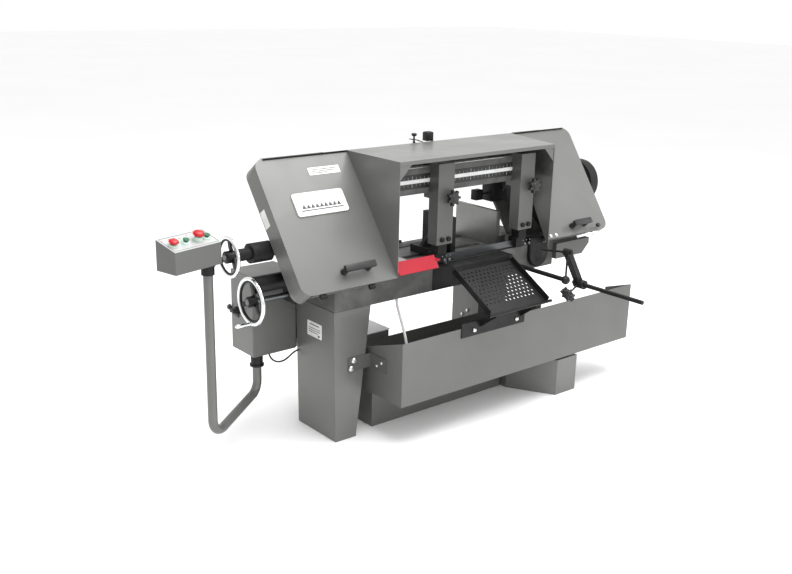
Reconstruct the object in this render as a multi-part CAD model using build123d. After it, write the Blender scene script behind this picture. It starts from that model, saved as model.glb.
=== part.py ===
from build123d import *
import math
import os

# ---------------------------------------------------------------------------
# Horizontal metal-cutting band saw, millimetres.
# Machine axes: +X to the right along the saw, +Y to the back, +Z up.
# x = 0, y = 0 is the front left corner of the left pedestal on the floor.
# ---------------------------------------------------------------------------

# ----- fits ----------------------------------------------------------------
running_gap = 0.3          # between faces that move past each other
shaft_gap = 0.05           # radial, round a shaft in its bore

# ----- bed and pedestals ---------------------------------------------------
bed_top = 622.0            # height of the work surface above the floor
bed_height = 108.0
bed_left = -8.0
bed_right = 1150.0
bed_depth = 340.0
bed_wall = 12.0
sheet = 4.0                # wall of the welded pedestals
pedestal_foot_width = 95.0
pedestal_head_width = 158.0
pedestal_depth = 247.0
pedestal_spread = 9.0      # the left side leans out this much at the top
column_left = 900.0
column_width = 170.0
column_front = 185.0
column_depth = 165.0
plinth_left = 905.0
plinth_right = 1137.0
plinth_height = 157.0
plinth_back = 350.0
toe_front = -188.0
toe_left = 1015.0
apron_left = 458.0
apron_right = 830.0
apron_reach = 72.0
apron_front_height = 74.0
rail_depth = 14.0
rail_rise = 12.0

# ----- coolant tank and chip tray -----------------------------------------
tank_left = 195.0
tank_front = 30.0
tank_back = 330.0
tank_height = 158.0
sump_left = 205.0
sump_right = 400.0
sump_front = 186.0
sump_top = 316.0
cover_thickness = 5.0
cover_overhang = 3.0
tray_sheet = 3.0
tray_left = 160.0
tray_step = 1040.0         # the tray is narrower to the right of this
tray_right = 1469.0
tray_front = -188.0
tray_back = 178.0
tray_narrow_back = -50.0
tray_floor = 165.0
tray_front_top = 414.0
tray_slope = 0.333         # fall of the end walls from front to back
tray_narrow_lip = 344.0
bracket_sheet = 4.0
bracket_height = 54.0
tray_bracket_top = 326.0
bracket_leg_x0 = 54.0
bracket_leg_y0 = -98.0
large_bolt = (22.0, 8.0)   # across the flats, head height
plate_bolt = (15.0, 6.0)
small_bolt = (11.0, 4.0)
box_screw = (8.0, 2.5)

# ----- chute and work stop -------------------------------------------------
chute_left = 498.0
chute_right = 815.0
chute_lip_height = 24.0
chute_sheet = 3.0
chute_foot_y = -280.0
chute_foot_z = 479.0
chute_flange = 24.0
chute_hole = 9.0
chute_pitch = 21.0
chute_row_share = 0.87     # row pitch as a share of the hole pitch
chute_border = 20.0
chute_bead = 12.0
chute_bead_reach = 24.0
chute_plate_left = 446.0
chute_plate_right = 788.0
chute_plate_low = 376.0
chute_plate_top = 434.0
chute_stays = (540.0, 760.0)
stop_x = 845.0
stop_bar_diameter = 18.0
stop_bar_length = 268.0
stop_bar_z = 576.0
stop_ball_diameter = 34.0
stop_post_diameter = 8.0
stop_hub_z = 687.0
stop_hub_diameter = 30.0
stop_arm_dx = 83.0
stop_arm_dz = -139.0
stop_arm_width = 22.0
stop_arm_sheet = 6.0
stop_rod_diameter = 17.0
stop_rod_length = 334.0
stop_tip_diameter = 8.0
stop_tip_length = 130.0
stop_tip_tail = 24.0
stop_tip_fall = 0.14       # fall of the measuring rod for each millimetre
stop_plate_gap = 8.0       # from the hub's middle to each arm plate
stop_pin_diameter = 16.0
stop_clamp_diameter = 36.0
stop_knob_reach = 62.0
stop_stem_diameter = 8.0
stop_knob_turn = 28.0      # degrees, the knob's stem below the horizontal
star_grip_thickness = 20.0

# ----- electrical box and control arm -------------------------------------
ebox_width = 191.0
ebox_front = 250.0
ebox_depth = 152.0
ebox_height = 312.0
ebox_wall = 2.5
switch_y = 352.0
switch_z = 468.0
switch_diameter = 30.0
switch_shaft_diameter = 10.0
pipe_diameter = 34.0
pipe_wall = 3.0
arm_axis_x = -172.0
arm_axis_y = 270.0
arm_drop_z = 168.0         # height at which the arm turns away from the box
arm_reach_x = -264.0
arm_reach_y = -130.0
arm_low_z = 92.0
collar_diameter = 46.0
collar_height = 42.0
console_turn = 13.5        # degrees, the console's turn on its pipe
console_z = 740.0
console_left = 178.0       # from the pipe to the left end
console_right = 22.0
console_depth = 94.0
console_front_height = 76.0
console_back_height = 104.0
console_wall = 2.5
plate_thickness = 2.0
button_spots = (-152.0, -100.0, -48.0, -10.0)
button_setback = -9.0
push_button_diameter = 22.0
stop_cap_diameter = 34.0
estop_diameter = 40.0
bezel_diameter = 30.0
bezel_height = 6.0
estop_bezel_height = 14.4
button_bore = 14.0
button_stem_diameter = 13.8
button_travel = 4.0

# ----- vise ----------------------------------------------------------------
screw_y = 140.0
screw_z = 570.0
screw_diameter = 22.0
screw_left = -286.0
screw_right = 846.0
vise_wheel_diameter = 176.0
wheel_rim = 13.0
wheel_hub_diameter = 40.0
wheel_hub_length = 34.0
jaw_x = 635.0              # gripping face of the moving jaw
jaw_thickness = 24.0
jaw_front = 65.0
jaw_length = 175.0
jaw_height = 152.0
fixed_jaw_x = 860.0
fixed_jaw_length = 248.0
slot_left = 430.0
slot_width = 30.0
crank_length = 58.0
crank_stud_diameter = 8.0
crank_grip_diameter = 16.0
cylinder_diameter = 62.0
cylinder_left = -256.0
cylinder_z = 628.0
end_plate_x = -110.0
end_plate_thickness = 12.0

# ----- head: the wheel plane leans back, 3-4-5 triangle --------------------
guard_foot_y = -70.0       # front bottom edge of the guard
guard_foot_z = 624.0
lean_y = 0.6               # up the slope
lean_z = 0.8
guard_left = -187.0
guard_right = 1446.0
window_left = 228.0
window_right = 1036.0
window_flare = 72.0        # the right cheek stands further out at the back
roof_lip = 14.0
guard_slope_length = 533.0
guard_sheet = 2.0
guard_flare = 28.0         # the right plate widens upwards
guard_corner = 42.0
guard_rim = 78.0           # depth of the rolled rim at the two ends
guard_right_lift = 28.0    # the right plate ends this much higher
wheel_diameter = 356.0
wheel_width = 30.0
wheel_setback = 58.0       # wheel plane behind the guard's face
wheel_slope = 234.0        # wheel centre up the slope
idler_x = 45.0
drive_x = 1215.0
blade_width = 27.0
blade_thickness = 0.9
blade_foot = 626.0         # lowest edge of the blade between the guides
blade_twist = 120.0
axle_diameter = 30.0
head_left = -104.0
backplate_setback = 162.0
backplate_thickness = 12.0
backplate_foot = 142.0     # up the slope
backplate_clear = 190.0    # foot over the vise cylinder
backplate_right = 1320.0
backplate_head = 520.0
screw_setback = 65.0       # tension screw behind the wheel plane
carriage_width = 100.0
carriage_height = 86.0
carriage_thickness = 46.0
tension_screw_diameter = 18.0
tension_wheel_diameter = 148.0
tension_wheel_x = -338.0
tension_tube_diameter = 44.0
tension_block_diameter = 72.0
tension_block_left = -256.0
tension_block_length = 82.0
beam_left = 232.0
beam_right = 1032.0
beam_front = 22.0
beam_depth = 100.0
beam_foot = 902.0
beam_top = 1000.0
beam_wall = 8.0
gusset_thickness = 12.0
hinge_y = 256.0
hinge_z = 1046.0
hinge_pin_diameter = 6.0
hinge_curls = ((-146.0, 104.0), (1142.0, 1290.0))
hinge_lugs = (108.0, 660.0, 1126.0)
left_arm_x = 488.0
right_arm_x = 931.0
arm_width = 80.0
arm_front = -30.0
arm_foot = 704.0
arm_top = 1016.0
arm_depth = 46.0
block_foot = 628.0
guide_half = 26.0          # half the width of a guide block
knob_z = 887.0
knob_diameter = 52.0
gearbox_length = 108.0
gearbox_depth = 90.0
motor_diameter = 208.0
motor_length = 355.0
motor_left = 1340.0
motor_y = 316.0
motor_z = 775.0
motor_neck_diameter = 84.0
pivot_x = 1290.0
pivot_z = 655.0
pivot_diameter = 30.0
ear_radius = 30.0
bracket_width = 212.0
bracket_front = -20.0
bracket_back = 300.0
bracket_foot = 540.0
bracket_top = 608.0
bracket_wall = 10.0
bracket_chamfer = 42.0     # low right corner, clear of the lifted cover's rim
red_guard_foot = 10.0      # up the slope
red_guard_length = 54.0
red_guard_setback = 13.0
red_guard_sheet = 3.0
flange_depth = 26.0
flange_end_gap = 62.0      # the left flange stops short, so that the red guard slides in
ear_thickness = 15.0
ear_gap = 1.0
lug_y0 = 212.0             # the head's lug between the two ears
lug_y1 = 262.0
gearbox_reach = 42.0       # past the drive shaft to the motor's neck
gearbox_foot = 202.0       # up the slope
gearbox_rise = 176.0
motor_cover_length = 62.0
handle_width = 18.0
handle_clear = 26.0        # finger room under the bar
left_handle = (60.0, 62.0, 132.0)      # x, up the slope, length
right_handle = (1262.0, 66.0, 104.0)
latch_x = 1366.0
latch_s = 14.0
latch_stem = 8.0


# ---------------------------------------------------------------------------
# helpers
# ---------------------------------------------------------------------------
def block(x0, x1, y0, y1, z0, z1):
    """A box between two corners."""
    middle = Pos((x0 + x1) / 2, (y0 + y1) / 2, (z0 + z1) / 2)
    return middle * Box(x1 - x0, y1 - y0, z1 - z0)


def rod(start, end, diameter):
    """A round bar from one point to another."""
    a = Vector(*start)
    b = Vector(*end)
    plane = Plane(origin=a, z_dir=(b - a).normalized())
    return extrude(plane * Circle(diameter / 2), (b - a).length)


def tube(start, end, outer, inner):
    return rod(start, end, outer) - rod(start, end, inner)


def prism_x(points, x0, x1):
    """A (y, z) outline carried along X."""
    face = make_face(Polyline(*[(x0, y, z) for y, z in points], close=True).edges())
    return extrude(face, x1 - x0, dir=(1, 0, 0))


def prism_y(points, y0, y1):
    """An (x, z) outline carried along Y."""
    face = make_face(Polyline(*[(x, y0, z) for x, z in points], close=True).edges())
    return extrude(face, y1 - y0, dir=(0, 1, 0))


def prism_z(points, z0, z1):
    """An (x, y) outline carried along Z."""
    face = make_face(Polyline(*[(x, y, z0) for x, y in points], close=True).edges())
    return extrude(face, z1 - z0, dir=(0, 0, 1))


def frustum(low, low_z, high, high_z):
    """A tapered box between two (x0, x1, y0, y1) rectangles."""
    faces = []
    for (x0, x1, y0, y1), z in ((low, low_z), (high, high_z)):
        ring = Polyline((x0, y0, z), (x1, y0, z), (x1, y1, z), (x0, y1, z), close=True)
        faces.append(make_face(ring.edges()))
    return loft(faces, ruled=True)


# The leaning frame of the head: x along the saw, s up the slope, h outwards.
outward = (0.0, -lean_z, lean_y)
lean = Plane(origin=(0, guard_foot_y, guard_foot_z), x_dir=(1, 0, 0), z_dir=outward)


def leaning(x, s, h):
    """Machine coordinates of a point given in the leaning frame."""
    y = guard_foot_y + lean_y * s - lean_z * h
    z = guard_foot_z + lean_z * s + lean_y * h
    return (x, y, z)


def lean_block(x0, x1, s0, s1, h0, h1):
    middle = Pos((x0 + x1) / 2, (s0 + s1) / 2, (h0 + h1) / 2)
    return lean.location * middle * Box(x1 - x0, s1 - s0, h1 - h0)


def lean_disc(x, s, h0, h1, diameter):
    return rod(leaning(x, s, h0), leaning(x, s, h1), diameter)


def handwheel(diameter, rim, hub_diameter, hub_length, bore, spokes):
    """A handwheel on the X axis, centred on the origin."""
    radius = diameter / 2 - rim / 2
    along_x = Rot(0, 90, 0)
    hub = Cylinder(hub_diameter / 2, hub_length)
    if bore:
        hub -= Cylinder(bore / 2, hub_length + 2)
    wheel = along_x * Torus(radius, rim / 2)
    inner = hub_diameter / 2 - 4
    spoke = Pos(0, 0, (radius + inner) / 2) * Cylinder(rim * 0.35, radius - inner)
    for number in range(spokes):
        wheel += Rot(number * 360 / spokes, 0, 0) * spoke
    return wheel + along_x * hub


# ---------------------------------------------------------------------------
# base
# ---------------------------------------------------------------------------
bed_foot = bed_top - bed_height
tank_right = column_left - running_gap


def make_left_pedestal():
    foot = (0, pedestal_foot_width, 0, pedestal_depth)
    head = (-pedestal_spread, pedestal_head_width, 0, pedestal_depth)
    shell = frustum(foot, 0, head, bed_foot)
    inner_foot = (sheet, foot[1] - sheet, sheet, pedestal_depth - sheet)
    inner_head = (sheet - pedestal_spread, head[1] - sheet, sheet, pedestal_depth - sheet)
    return shell - frustum(inner_foot, 0, inner_head, bed_foot - sheet)


def make_right_pedestal():
    outline = [(plinth_left, plinth_back), (plinth_left, 0), (toe_left, toe_front)]
    outline += [(plinth_right, toe_front), (plinth_right, plinth_back)]
    plinth = prism_z(outline, 0, plinth_height)
    inset = [(plinth_left + sheet, plinth_back - sheet), (plinth_left + sheet, sheet)]
    inset += [(toe_left + sheet, toe_front + sheet), (plinth_right - sheet, toe_front + sheet)]
    inset += [(plinth_right - sheet, plinth_back - sheet)]
    plinth -= prism_z(inset, 0, plinth_height - sheet)
    right = column_left + column_width
    back = column_front + column_depth
    column = block(column_left, right, column_front, back, plinth_height, bed_foot)
    column -= block(column_left + sheet, right - sheet, column_front + sheet, back - sheet,
                    plinth_height, bed_foot - sheet)
    front_ledge = block(toe_left + 20, plinth_right - 20, toe_front + 20, toe_front + 60,
                        plinth_height, tray_floor)
    rear_ledge = block(plinth_left + 10, plinth_right - 10, 100, 140, plinth_height, tray_floor)
    return plinth + column + front_ledge + rear_ledge


def make_bed():
    beam = block(bed_left, bed_right, 0, bed_depth, bed_foot, bed_top)
    beam -= block(bed_left + bed_wall, bed_right - bed_wall, bed_wall, bed_depth - bed_wall,
                  bed_foot + bed_wall, bed_top - bed_wall)
    slot_right = fixed_jaw_x - 20
    beam -= block(slot_left, slot_right, screw_y - slot_width / 2, screw_y + slot_width / 2,
                  bed_top - bed_wall - 1, bed_top + 1)
    bore = screw_diameter + 2 * shaft_gap
    beam -= rod((bed_left - 1, screw_y, screw_z), (bed_left + bed_wall + 1, screw_y, screw_z), bore)
    return beam


def make_apron():
    front = -apron_reach
    low = bed_top - apron_front_height
    profile = [(0, bed_foot), (front, low), (front, bed_top), (0, bed_top)]
    apron = prism_x(profile, apron_left, apron_right)
    slant = apron_reach * 0.56
    corner = [(apron_left - 1, 1), (apron_left, 0), (apron_left + slant, front - 1)]
    corner += [(apron_left - 1, front - 1)]
    return apron - prism_z(corner, bed_foot - 10, bed_top + 10)


def make_rear_rail():
    y0 = bed_depth - rail_depth
    return block(bed_left + 40, jaw_x - 60, y0, bed_depth, bed_top, bed_top + rail_rise)


def make_tank():
    body = block(tank_left, tank_right, tank_front, tank_back, 0, tank_height)
    body += block(sump_left, sump_right, sump_front, tank_back, tank_height, sump_top)
    wall = tray_sheet
    body -= block(tank_left + wall, tank_right - wall, tank_front + wall, tank_back - wall,
                  wall, tank_height - wall)
    body -= block(sump_left + wall, sump_right - wall, sump_front + wall, tank_back - wall,
                  tank_height - 2 * wall, sump_top)
    return body


def make_tank_cover():
    edge = cover_overhang
    return block(sump_left - edge, sump_right + edge, sump_front - edge, tank_back + edge,
                 sump_top, sump_top + cover_thickness)


def tray_top(y):
    """Height of the end walls' top edge at y."""
    return tray_front_top - tray_slope * (y - tray_front)


def make_tray():
    deep = [(tray_front, tray_floor), (tray_front, tray_front_top)]
    deep += [(tray_back, tray_top(tray_back)), (tray_back, tray_floor)]
    narrow = [(tray_front, tray_floor), (tray_front, tray_front_top)]
    narrow += [(tray_narrow_back, tray_top(tray_narrow_back)), (tray_narrow_back, tray_floor)]
    body = prism_x(deep, tray_left, tray_step) + prism_x(narrow, tray_step, tray_right)
    t = tray_sheet
    open_top = tray_front_top + 1
    body -= block(tray_left + t, tray_step - t, tray_front + t, tray_back - t,
                  tray_floor + t, open_top)
    body -= block(tray_step - t - 1, tray_right - t, tray_front + t, tray_narrow_back - t,
                  tray_floor + t, open_top)
    body -= block(tray_step, tray_right - t, tray_narrow_back - t - 1, tray_narrow_back + 1,
                  tray_narrow_lip, open_top)
    return body


def make_tray_bracket():
    low = tray_bracket_top - bracket_height
    s = bracket_sheet
    leg = block(bracket_leg_x0, tray_left, -s, 0, low, tray_bracket_top)
    side = block(tray_left - s, tray_left, bracket_leg_y0, 0, low, tray_bracket_top)
    return leg + side


def make_chute():
    front = -apron_reach
    foot_y = chute_foot_y
    lip_foot = bed_top - chute_lip_height
    run = front - foot_y
    drop = lip_foot - chute_foot_z
    length = math.hypot(run, drop)
    # x across the chute, y down its slope, z into its underside
    slope = Plane(origin=(chute_left, front, lip_foot), x_dir=(1, 0, 0), z_dir=(0, drop, -run))
    width = chute_right - chute_left
    sketch = Pos(width / 2, length / 2) * Rectangle(width, length)
    row_pitch = chute_pitch * chute_row_share
    rows = int((length - 2 * chute_border) / row_pitch)
    holes = []
    for row in range(rows):
        shift = chute_pitch / 2 if row % 2 else 0
        count = int((width - 2 * chute_border - shift) / chute_pitch) + 1
        for column in range(count):
            place = Pos(chute_border + shift + column * chute_pitch, chute_border + 2 + row * row_pitch)
            holes.append(place * Circle(chute_hole / 2))
    plate = extrude(slope * (sketch - holes), -chute_sheet)
    lip = block(chute_left, chute_right, front - chute_sheet, front, lip_foot, bed_top)
    flanges = []
    for x in (0, width - chute_sheet):
        wall = Pos(x + chute_sheet / 2, length / 2) * Rectangle(chute_sheet, length)
        flanges.append(extrude(slope * wall, -chute_flange))
    bead = rod((chute_left, foot_y, chute_foot_z),
               (chute_right + chute_bead_reach, foot_y, chute_foot_z), chute_bead)
    return plate + lip + flanges[0] + flanges[1] + bead


def make_chute_bracket():
    s = bracket_sheet
    y1 = tray_front
    plate = block(chute_plate_left, chute_plate_right, y1 - s, y1, chute_plate_low, chute_plate_top)
    for x in chute_stays:
        reach = chute_foot_y + 6
        rise = chute_foot_z - 4
        outline = [(y1 - s, chute_plate_top - 30), (y1 - s, chute_plate_top)]
        outline += [(reach + 8, rise - 2), (reach, rise - 12)]
        plate += prism_x(outline, x, x + s)
    return plate


def hex_head(x, y, z, axis, size):
    """A bolt head seated on a face; axis points out of the face."""
    across, thick = size
    plane = Plane(origin=(x, y, z), z_dir=axis)
    return extrude(plane * RegularPolygon(across / 2, 6), thick)


def make_base_bolts():
    front = (0, -1, 0)
    left = (-1, 0, 0)
    heads = []
    for x, drop in ((24, 12), (12, 42)):
        heads.append(hex_head(bracket_leg_x0 + x, -bracket_sheet, tray_bracket_top - drop, front,
                              large_bolt))
    for y, drop in ((26, 20), (54, 38)):
        heads.append(hex_head(tray_left - bracket_sheet, bracket_leg_y0 + y, tray_bracket_top - drop,
                              left, small_bolt))
    for x in (chute_plate_left + 66, chute_plate_right - 46):
        heads.append(hex_head(x, tray_front - bracket_sheet, chute_plate_low + 22, front, plate_bolt))
    for y, z in ((97, 101), (65, 127)):
        heads.append(hex_head(column_left, column_front + y, plinth_height + z, left, plate_bolt))
    return Compound(heads)


# ----- work stop -----------------------------------------------------------
stop_ball_y = -apron_reach - stop_bar_length
stop_low_x = stop_x + stop_arm_dx
stop_low_z = stop_hub_z + stop_arm_dz


def tip_line(start, end, diameter):
    """The measuring rod falls gently from the top hub towards the saw."""
    y = stop_ball_y
    drop = stop_tip_fall
    high = (stop_x, y + start, stop_hub_z - start * drop)
    low = (stop_x, y + end, stop_hub_z - end * drop)
    return rod(high, low, diameter)


def make_stop_bar():
    """Bar out of the bed's front, with its ball, post and top hub."""
    y = stop_ball_y
    bar = rod((stop_x, 0, stop_bar_z), (stop_x, y, stop_bar_z), stop_bar_diameter)
    half = stop_x - apron_right - 1
    foot = block(stop_x - half, stop_x + half, -10, 0, stop_bar_z - 22, stop_bar_z + 22)
    ball = Pos(stop_x, y, stop_bar_z) * Sphere(stop_ball_diameter / 2)
    post = rod((stop_x, y, stop_bar_z), (stop_x, y, stop_hub_z), stop_post_diameter)
    inner = stop_plate_gap - running_gap
    hub = rod((stop_x, y - inner, stop_hub_z), (stop_x, y + inner, stop_hub_z), stop_hub_diameter)
    pin_reach = stop_plate_gap + stop_arm_sheet + 6
    pin = rod((stop_x, y - pin_reach, stop_hub_z), (stop_x, y + pin_reach, stop_hub_z),
              stop_pin_diameter)
    tip = tip_line(-stop_tip_tail, stop_tip_length, stop_tip_diameter)
    return bar + foot + ball + post + hub + pin + tip


def make_stop_arm():
    """Two flat links with a clamp hub at the low end, turning on the top hub."""
    y = stop_ball_y
    arm = None
    for side in (-1, 1):
        y0 = y + side * stop_plate_gap
        y1 = y + side * (stop_plate_gap + stop_arm_sheet)
        high = rod((stop_x, y0, stop_hub_z), (stop_x, y1, stop_hub_z), stop_arm_width + 8)
        low = rod((stop_low_x, y0, stop_low_z), (stop_low_x, y1, stop_low_z), stop_arm_width + 8)
        length = math.hypot(stop_arm_dx, stop_arm_dz)
        tilt = math.degrees(math.atan2(-stop_arm_dz, stop_arm_dx))
        middle = Pos((stop_x + stop_low_x) / 2, (y0 + y1) / 2, (stop_hub_z + stop_low_z) / 2)
        link = middle * Rot(0, tilt, 0) * Box(length, stop_arm_sheet, stop_arm_width)
        plate = high + link + low
        arm = plate if arm is None else arm + plate
    reach = stop_plate_gap + stop_arm_sheet
    arm += rod((stop_low_x, y - reach - 14, stop_low_z), (stop_low_x, y + reach + 4, stop_low_z),
               stop_clamp_diameter)
    bores = ((stop_x, stop_hub_z, stop_pin_diameter), (stop_low_x, stop_low_z, stop_rod_diameter))
    for x, z, diameter in bores:
        arm -= rod((x, y - 80, z), (x, y + 80, z), diameter + 2 * shaft_gap)
    return arm - rod(stem_point(0), stem_point(40), stop_stem_diameter + 2 * shaft_gap)


def stem_point(reach):
    """A point on the clamp knob's stem, out from the stop rod's axis."""
    turn = math.radians(stop_knob_turn)
    return (stop_low_x - reach * math.cos(turn), stop_ball_y, stop_low_z - reach * math.sin(turn))


def make_stop_rod():
    y1 = stop_ball_y + 30
    return rod((stop_low_x, y1, stop_low_z), (stop_low_x, y1 - stop_rod_length, stop_low_z),
               stop_rod_diameter)


def star_knob(diameter, thick, lobes=6):
    """A star grip on the Z axis, its underside on the origin."""
    grip = Pos(0, 0, thick / 2) * Cylinder(diameter * 0.36, thick)
    for number in range(lobes):
        angle = math.radians(number * 360 / lobes)
        spot = Pos(diameter * 0.36 * math.cos(angle), diameter * 0.36 * math.sin(angle), thick / 2)
        grip += spot * Cylinder(diameter * 0.14, thick)
    return grip


def make_stop_knob():
    stem = rod(stem_point(stop_knob_reach), stem_point(stop_rod_diameter / 2 + 0.5), stop_stem_diameter)
    a = Vector(*stem_point(0))
    b = Vector(*stem_point(stop_knob_reach))
    plane = Plane(origin=b, z_dir=(b - a).normalized())
    return stem + plane.location * star_knob(knob_diameter, star_grip_thickness)


# ----- electrical box and control arm -------------------------------------
ebox_right = bed_left
ebox_left = ebox_right - ebox_width
ebox_top = bed_top - 2
ebox_foot = ebox_top - ebox_height
ebox_back = ebox_front + ebox_depth


def make_ebox():
    shell = block(ebox_left, ebox_right, ebox_front, ebox_back, ebox_foot, ebox_top)
    w = ebox_wall
    shell -= block(ebox_left + w, ebox_right - w, ebox_front - 1, ebox_back - w,
                   ebox_foot + w, ebox_top - w)
    return shell - rod((ebox_left - 1, switch_y, switch_z), (ebox_left + w + 1, switch_y, switch_z),
                       switch_shaft_diameter + 2 * shaft_gap)


def make_ebox_cover():
    plate = block(ebox_left, ebox_right - 4, ebox_front - 3, ebox_front, ebox_foot, ebox_top)
    screws = []
    for z in (ebox_foot + 35, (ebox_foot + ebox_top) / 2, ebox_top - 60):
        screws.append(hex_head(ebox_right - 14, ebox_front - 3, z, (0, -1, 0), box_screw))
    for head in screws:
        plate += head
    return plate


def make_switch_knob():
    """Round isolator knob on the box's left face, its shaft through the wall."""
    shaft = rod((ebox_left - 8, switch_y, switch_z), (ebox_left + 12, switch_y, switch_z),
                switch_shaft_diameter)
    knob = rod((ebox_left - 18, switch_y, switch_z), (ebox_left - 1, switch_y, switch_z),
               switch_diameter)
    grip = block(ebox_left - 30, ebox_left - 17, switch_y - switch_diameter / 2 + 2,
                 switch_y + switch_diameter / 2 - 2, switch_z - 4, switch_z + 4)
    return shaft + knob + grip


def make_lower_collar():
    foot = ebox_foot - collar_height
    body = tube((arm_axis_x, arm_axis_y, foot), (arm_axis_x, arm_axis_y, ebox_foot),
                collar_diameter, pipe_diameter + 2 * shaft_gap)
    lid = rod((arm_axis_x, arm_axis_y, ebox_foot - 6), (arm_axis_x, arm_axis_y, ebox_foot),
              collar_diameter)
    lip = tube((arm_axis_x, arm_axis_y, foot), (arm_axis_x, arm_axis_y, foot + 8),
               collar_diameter + 8, pipe_diameter + 2 * shaft_gap)
    return body + lid + lip


console_x = arm_axis_x + arm_reach_x
console_y = arm_axis_y + arm_reach_y
pipe_top = console_z - 14


def make_control_pipe():
    path = FilletPolyline(
        (arm_axis_x, arm_axis_y, ebox_foot - 6.3),
        (arm_axis_x, arm_axis_y, arm_drop_z),
        (console_x, console_y, arm_low_z),
        (console_x, console_y, pipe_top),
        radius=52,
    )
    start = Plane(origin=path @ 0, z_dir=path % 0)
    outer = sweep(start * Circle(pipe_diameter / 2), path=path)
    inner = sweep(start * Circle(pipe_diameter / 2 - pipe_wall), path=path)
    return outer - inner


def make_upper_collar():
    foot = console_z - collar_height
    bore = pipe_diameter + 2 * shaft_gap
    body = rod((console_x, console_y, foot), (console_x, console_y, console_z), collar_diameter)
    body += rod((console_x, console_y, console_z - 12), (console_x, console_y, console_z),
                collar_diameter + 8)
    return body - rod((console_x, console_y, foot - 1), (console_x, console_y, pipe_top + 0.3), bore)


console = Pos(console_x, console_y, console_z) * Rot(0, 0, console_turn)
console_tilt = math.degrees(math.atan2(console_back_height - console_front_height, console_depth))


def console_wedge(inset, floor):
    y0 = -console_depth / 2 + inset
    y1 = console_depth / 2 - inset
    rise = (console_back_height - console_front_height) / console_depth
    low = console_front_height + rise * inset
    high = console_back_height - rise * inset
    outline = [(y0, floor), (y1, floor), (y1, high), (y0, low)]
    return prism_x(outline, -console_left + inset, console_right - inset)


def make_console():
    body = console_wedge(0, 0) - console_wedge(console_wall, console_wall)
    return console * body


mid_height = (console_front_height + console_back_height) / 2
panel = console * Pos(0, 0, mid_height) * Rot(console_tilt, 0, 0)


def make_panel():
    length = console_left + console_right
    middle = (console_right - console_left) / 2
    depth = console_depth / math.cos(math.radians(console_tilt))
    plate = Pos(middle, 0, plate_thickness / 2) * Box(length, depth, plate_thickness)
    for x in button_spots:
        plate -= Pos(x, button_setback, 0) * Cylinder(button_bore / 2, 20)
    return panel * plate


def bezel_top(number):
    """Height of a button's collar; the emergency stop's is the tall one."""
    return estop_bezel_height if number == 2 else bezel_height


def make_bezels():
    rings = []
    for number, x in enumerate(button_spots):
        height = bezel_top(number)
        ring = Cylinder(bezel_diameter / 2, height) - Cylinder(button_bore / 2, height + 2)
        rings.append(panel * Pos(x, button_setback, plate_thickness + height / 2) * ring)
    return Compound(rings)


def make_button(number, cap_diameter, cap_height, dome):
    """A cap on a stem through its bezel, with travel left under the cap."""
    x = button_spots[number]
    base = plate_thickness + bezel_top(number) + button_travel + 2 * running_gap
    cap = Pos(0, 0, base + cap_height / 2) * Cylinder(cap_diameter / 2, cap_height)
    if dome:
        cap = fillet(cap.edges().filter_by(GeomType.CIRCLE).sort_by(Axis.Z)[-1], cap_height * 0.6)
    stem = Pos(0, 0, base / 2 - 4) * Cylinder(button_stem_diameter / 2, base + 8)
    return panel * Pos(x, button_setback, 0) * (cap + stem)


# ----- vise ----------------------------------------------------------------
def make_vise_screw():
    return rod((screw_left, screw_y, screw_z), (screw_right, screw_y, screw_z), screw_diameter)


def make_vise_wheel():
    x = screw_left + wheel_hub_length / 2
    wheel = handwheel(vise_wheel_diameter, wheel_rim, wheel_hub_diameter, wheel_hub_length,
                      screw_diameter, 3)
    cx, cy, cz = crank_place()
    stud = rod((cx - 1, cy, cz), (cx - wheel_rim / 2 - crank_length - 2, cy, cz), crank_stud_diameter)
    return Pos(x, screw_y, screw_z) * wheel + stud


def crank_place():
    """Middle of the rim where the crank handle stands, below the hub."""
    return (screw_left + wheel_hub_length / 2, screw_y,
            screw_z - vise_wheel_diameter / 2 + wheel_rim / 2)


def make_crank_handle():
    """Grip that spins on its stud."""
    x, y, z = crank_place()
    x1 = x - wheel_rim / 2 - running_gap
    return tube((x1 - crank_length, y, z), (x1, y, z), crank_grip_diameter,
                crank_stud_diameter + 2 * shaft_gap)


def make_moving_jaw():
    base_top = bed_top + running_gap
    x0 = jaw_x - jaw_thickness
    plate = block(x0, jaw_x, jaw_front, jaw_front + jaw_length, base_top, bed_top + jaw_height)
    foot = block(x0 - 90, x0 + 1, jaw_front + 30, jaw_front + jaw_length - 30, base_top, base_top + 30)
    middle = jaw_front + jaw_length / 2
    rib = [(x0 - 85, base_top + 29), (x0 + 1, base_top + 29), (x0 + 1, bed_top + jaw_height - 20)]
    web = prism_y(rib, middle - 8, middle + 8)
    half = slot_width / 2 - running_gap
    leg = block(x0 - 60, x0 - 20, screw_y - half, screw_y + half, screw_z, base_top + 1)
    nut = rod((x0 - 66, screw_y, screw_z), (x0 - 14, screw_y, screw_z), 44)
    nut &= block(x0 - 70, x0, screw_y - 22, screw_y + 22, screw_z - 22, bed_top - bed_wall - 2)
    bore = rod((x0 - 80, screw_y, screw_z), (x0, screw_y, screw_z), screw_diameter + 2 * shaft_gap)
    return plate + foot + web + leg + nut - bore


def make_fixed_jaw():
    y1 = jaw_front - 5 + fixed_jaw_length
    plate = block(fixed_jaw_x, fixed_jaw_x + 18, jaw_front - 5, y1, bed_top, bed_top + jaw_height - 4)
    foot = block(fixed_jaw_x + 17, fixed_jaw_x + 90, jaw_front + 30, y1 - 30, bed_top, bed_top + 30)
    rib = [(fixed_jaw_x + 17, bed_top + 29), (fixed_jaw_x + 85, bed_top + 29)]
    rib += [(fixed_jaw_x + 17, bed_top + jaw_height - 24)]
    middle = (jaw_front + y1) / 2
    return plate + foot + prism_y(rib, middle - 8, middle + 8)


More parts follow.
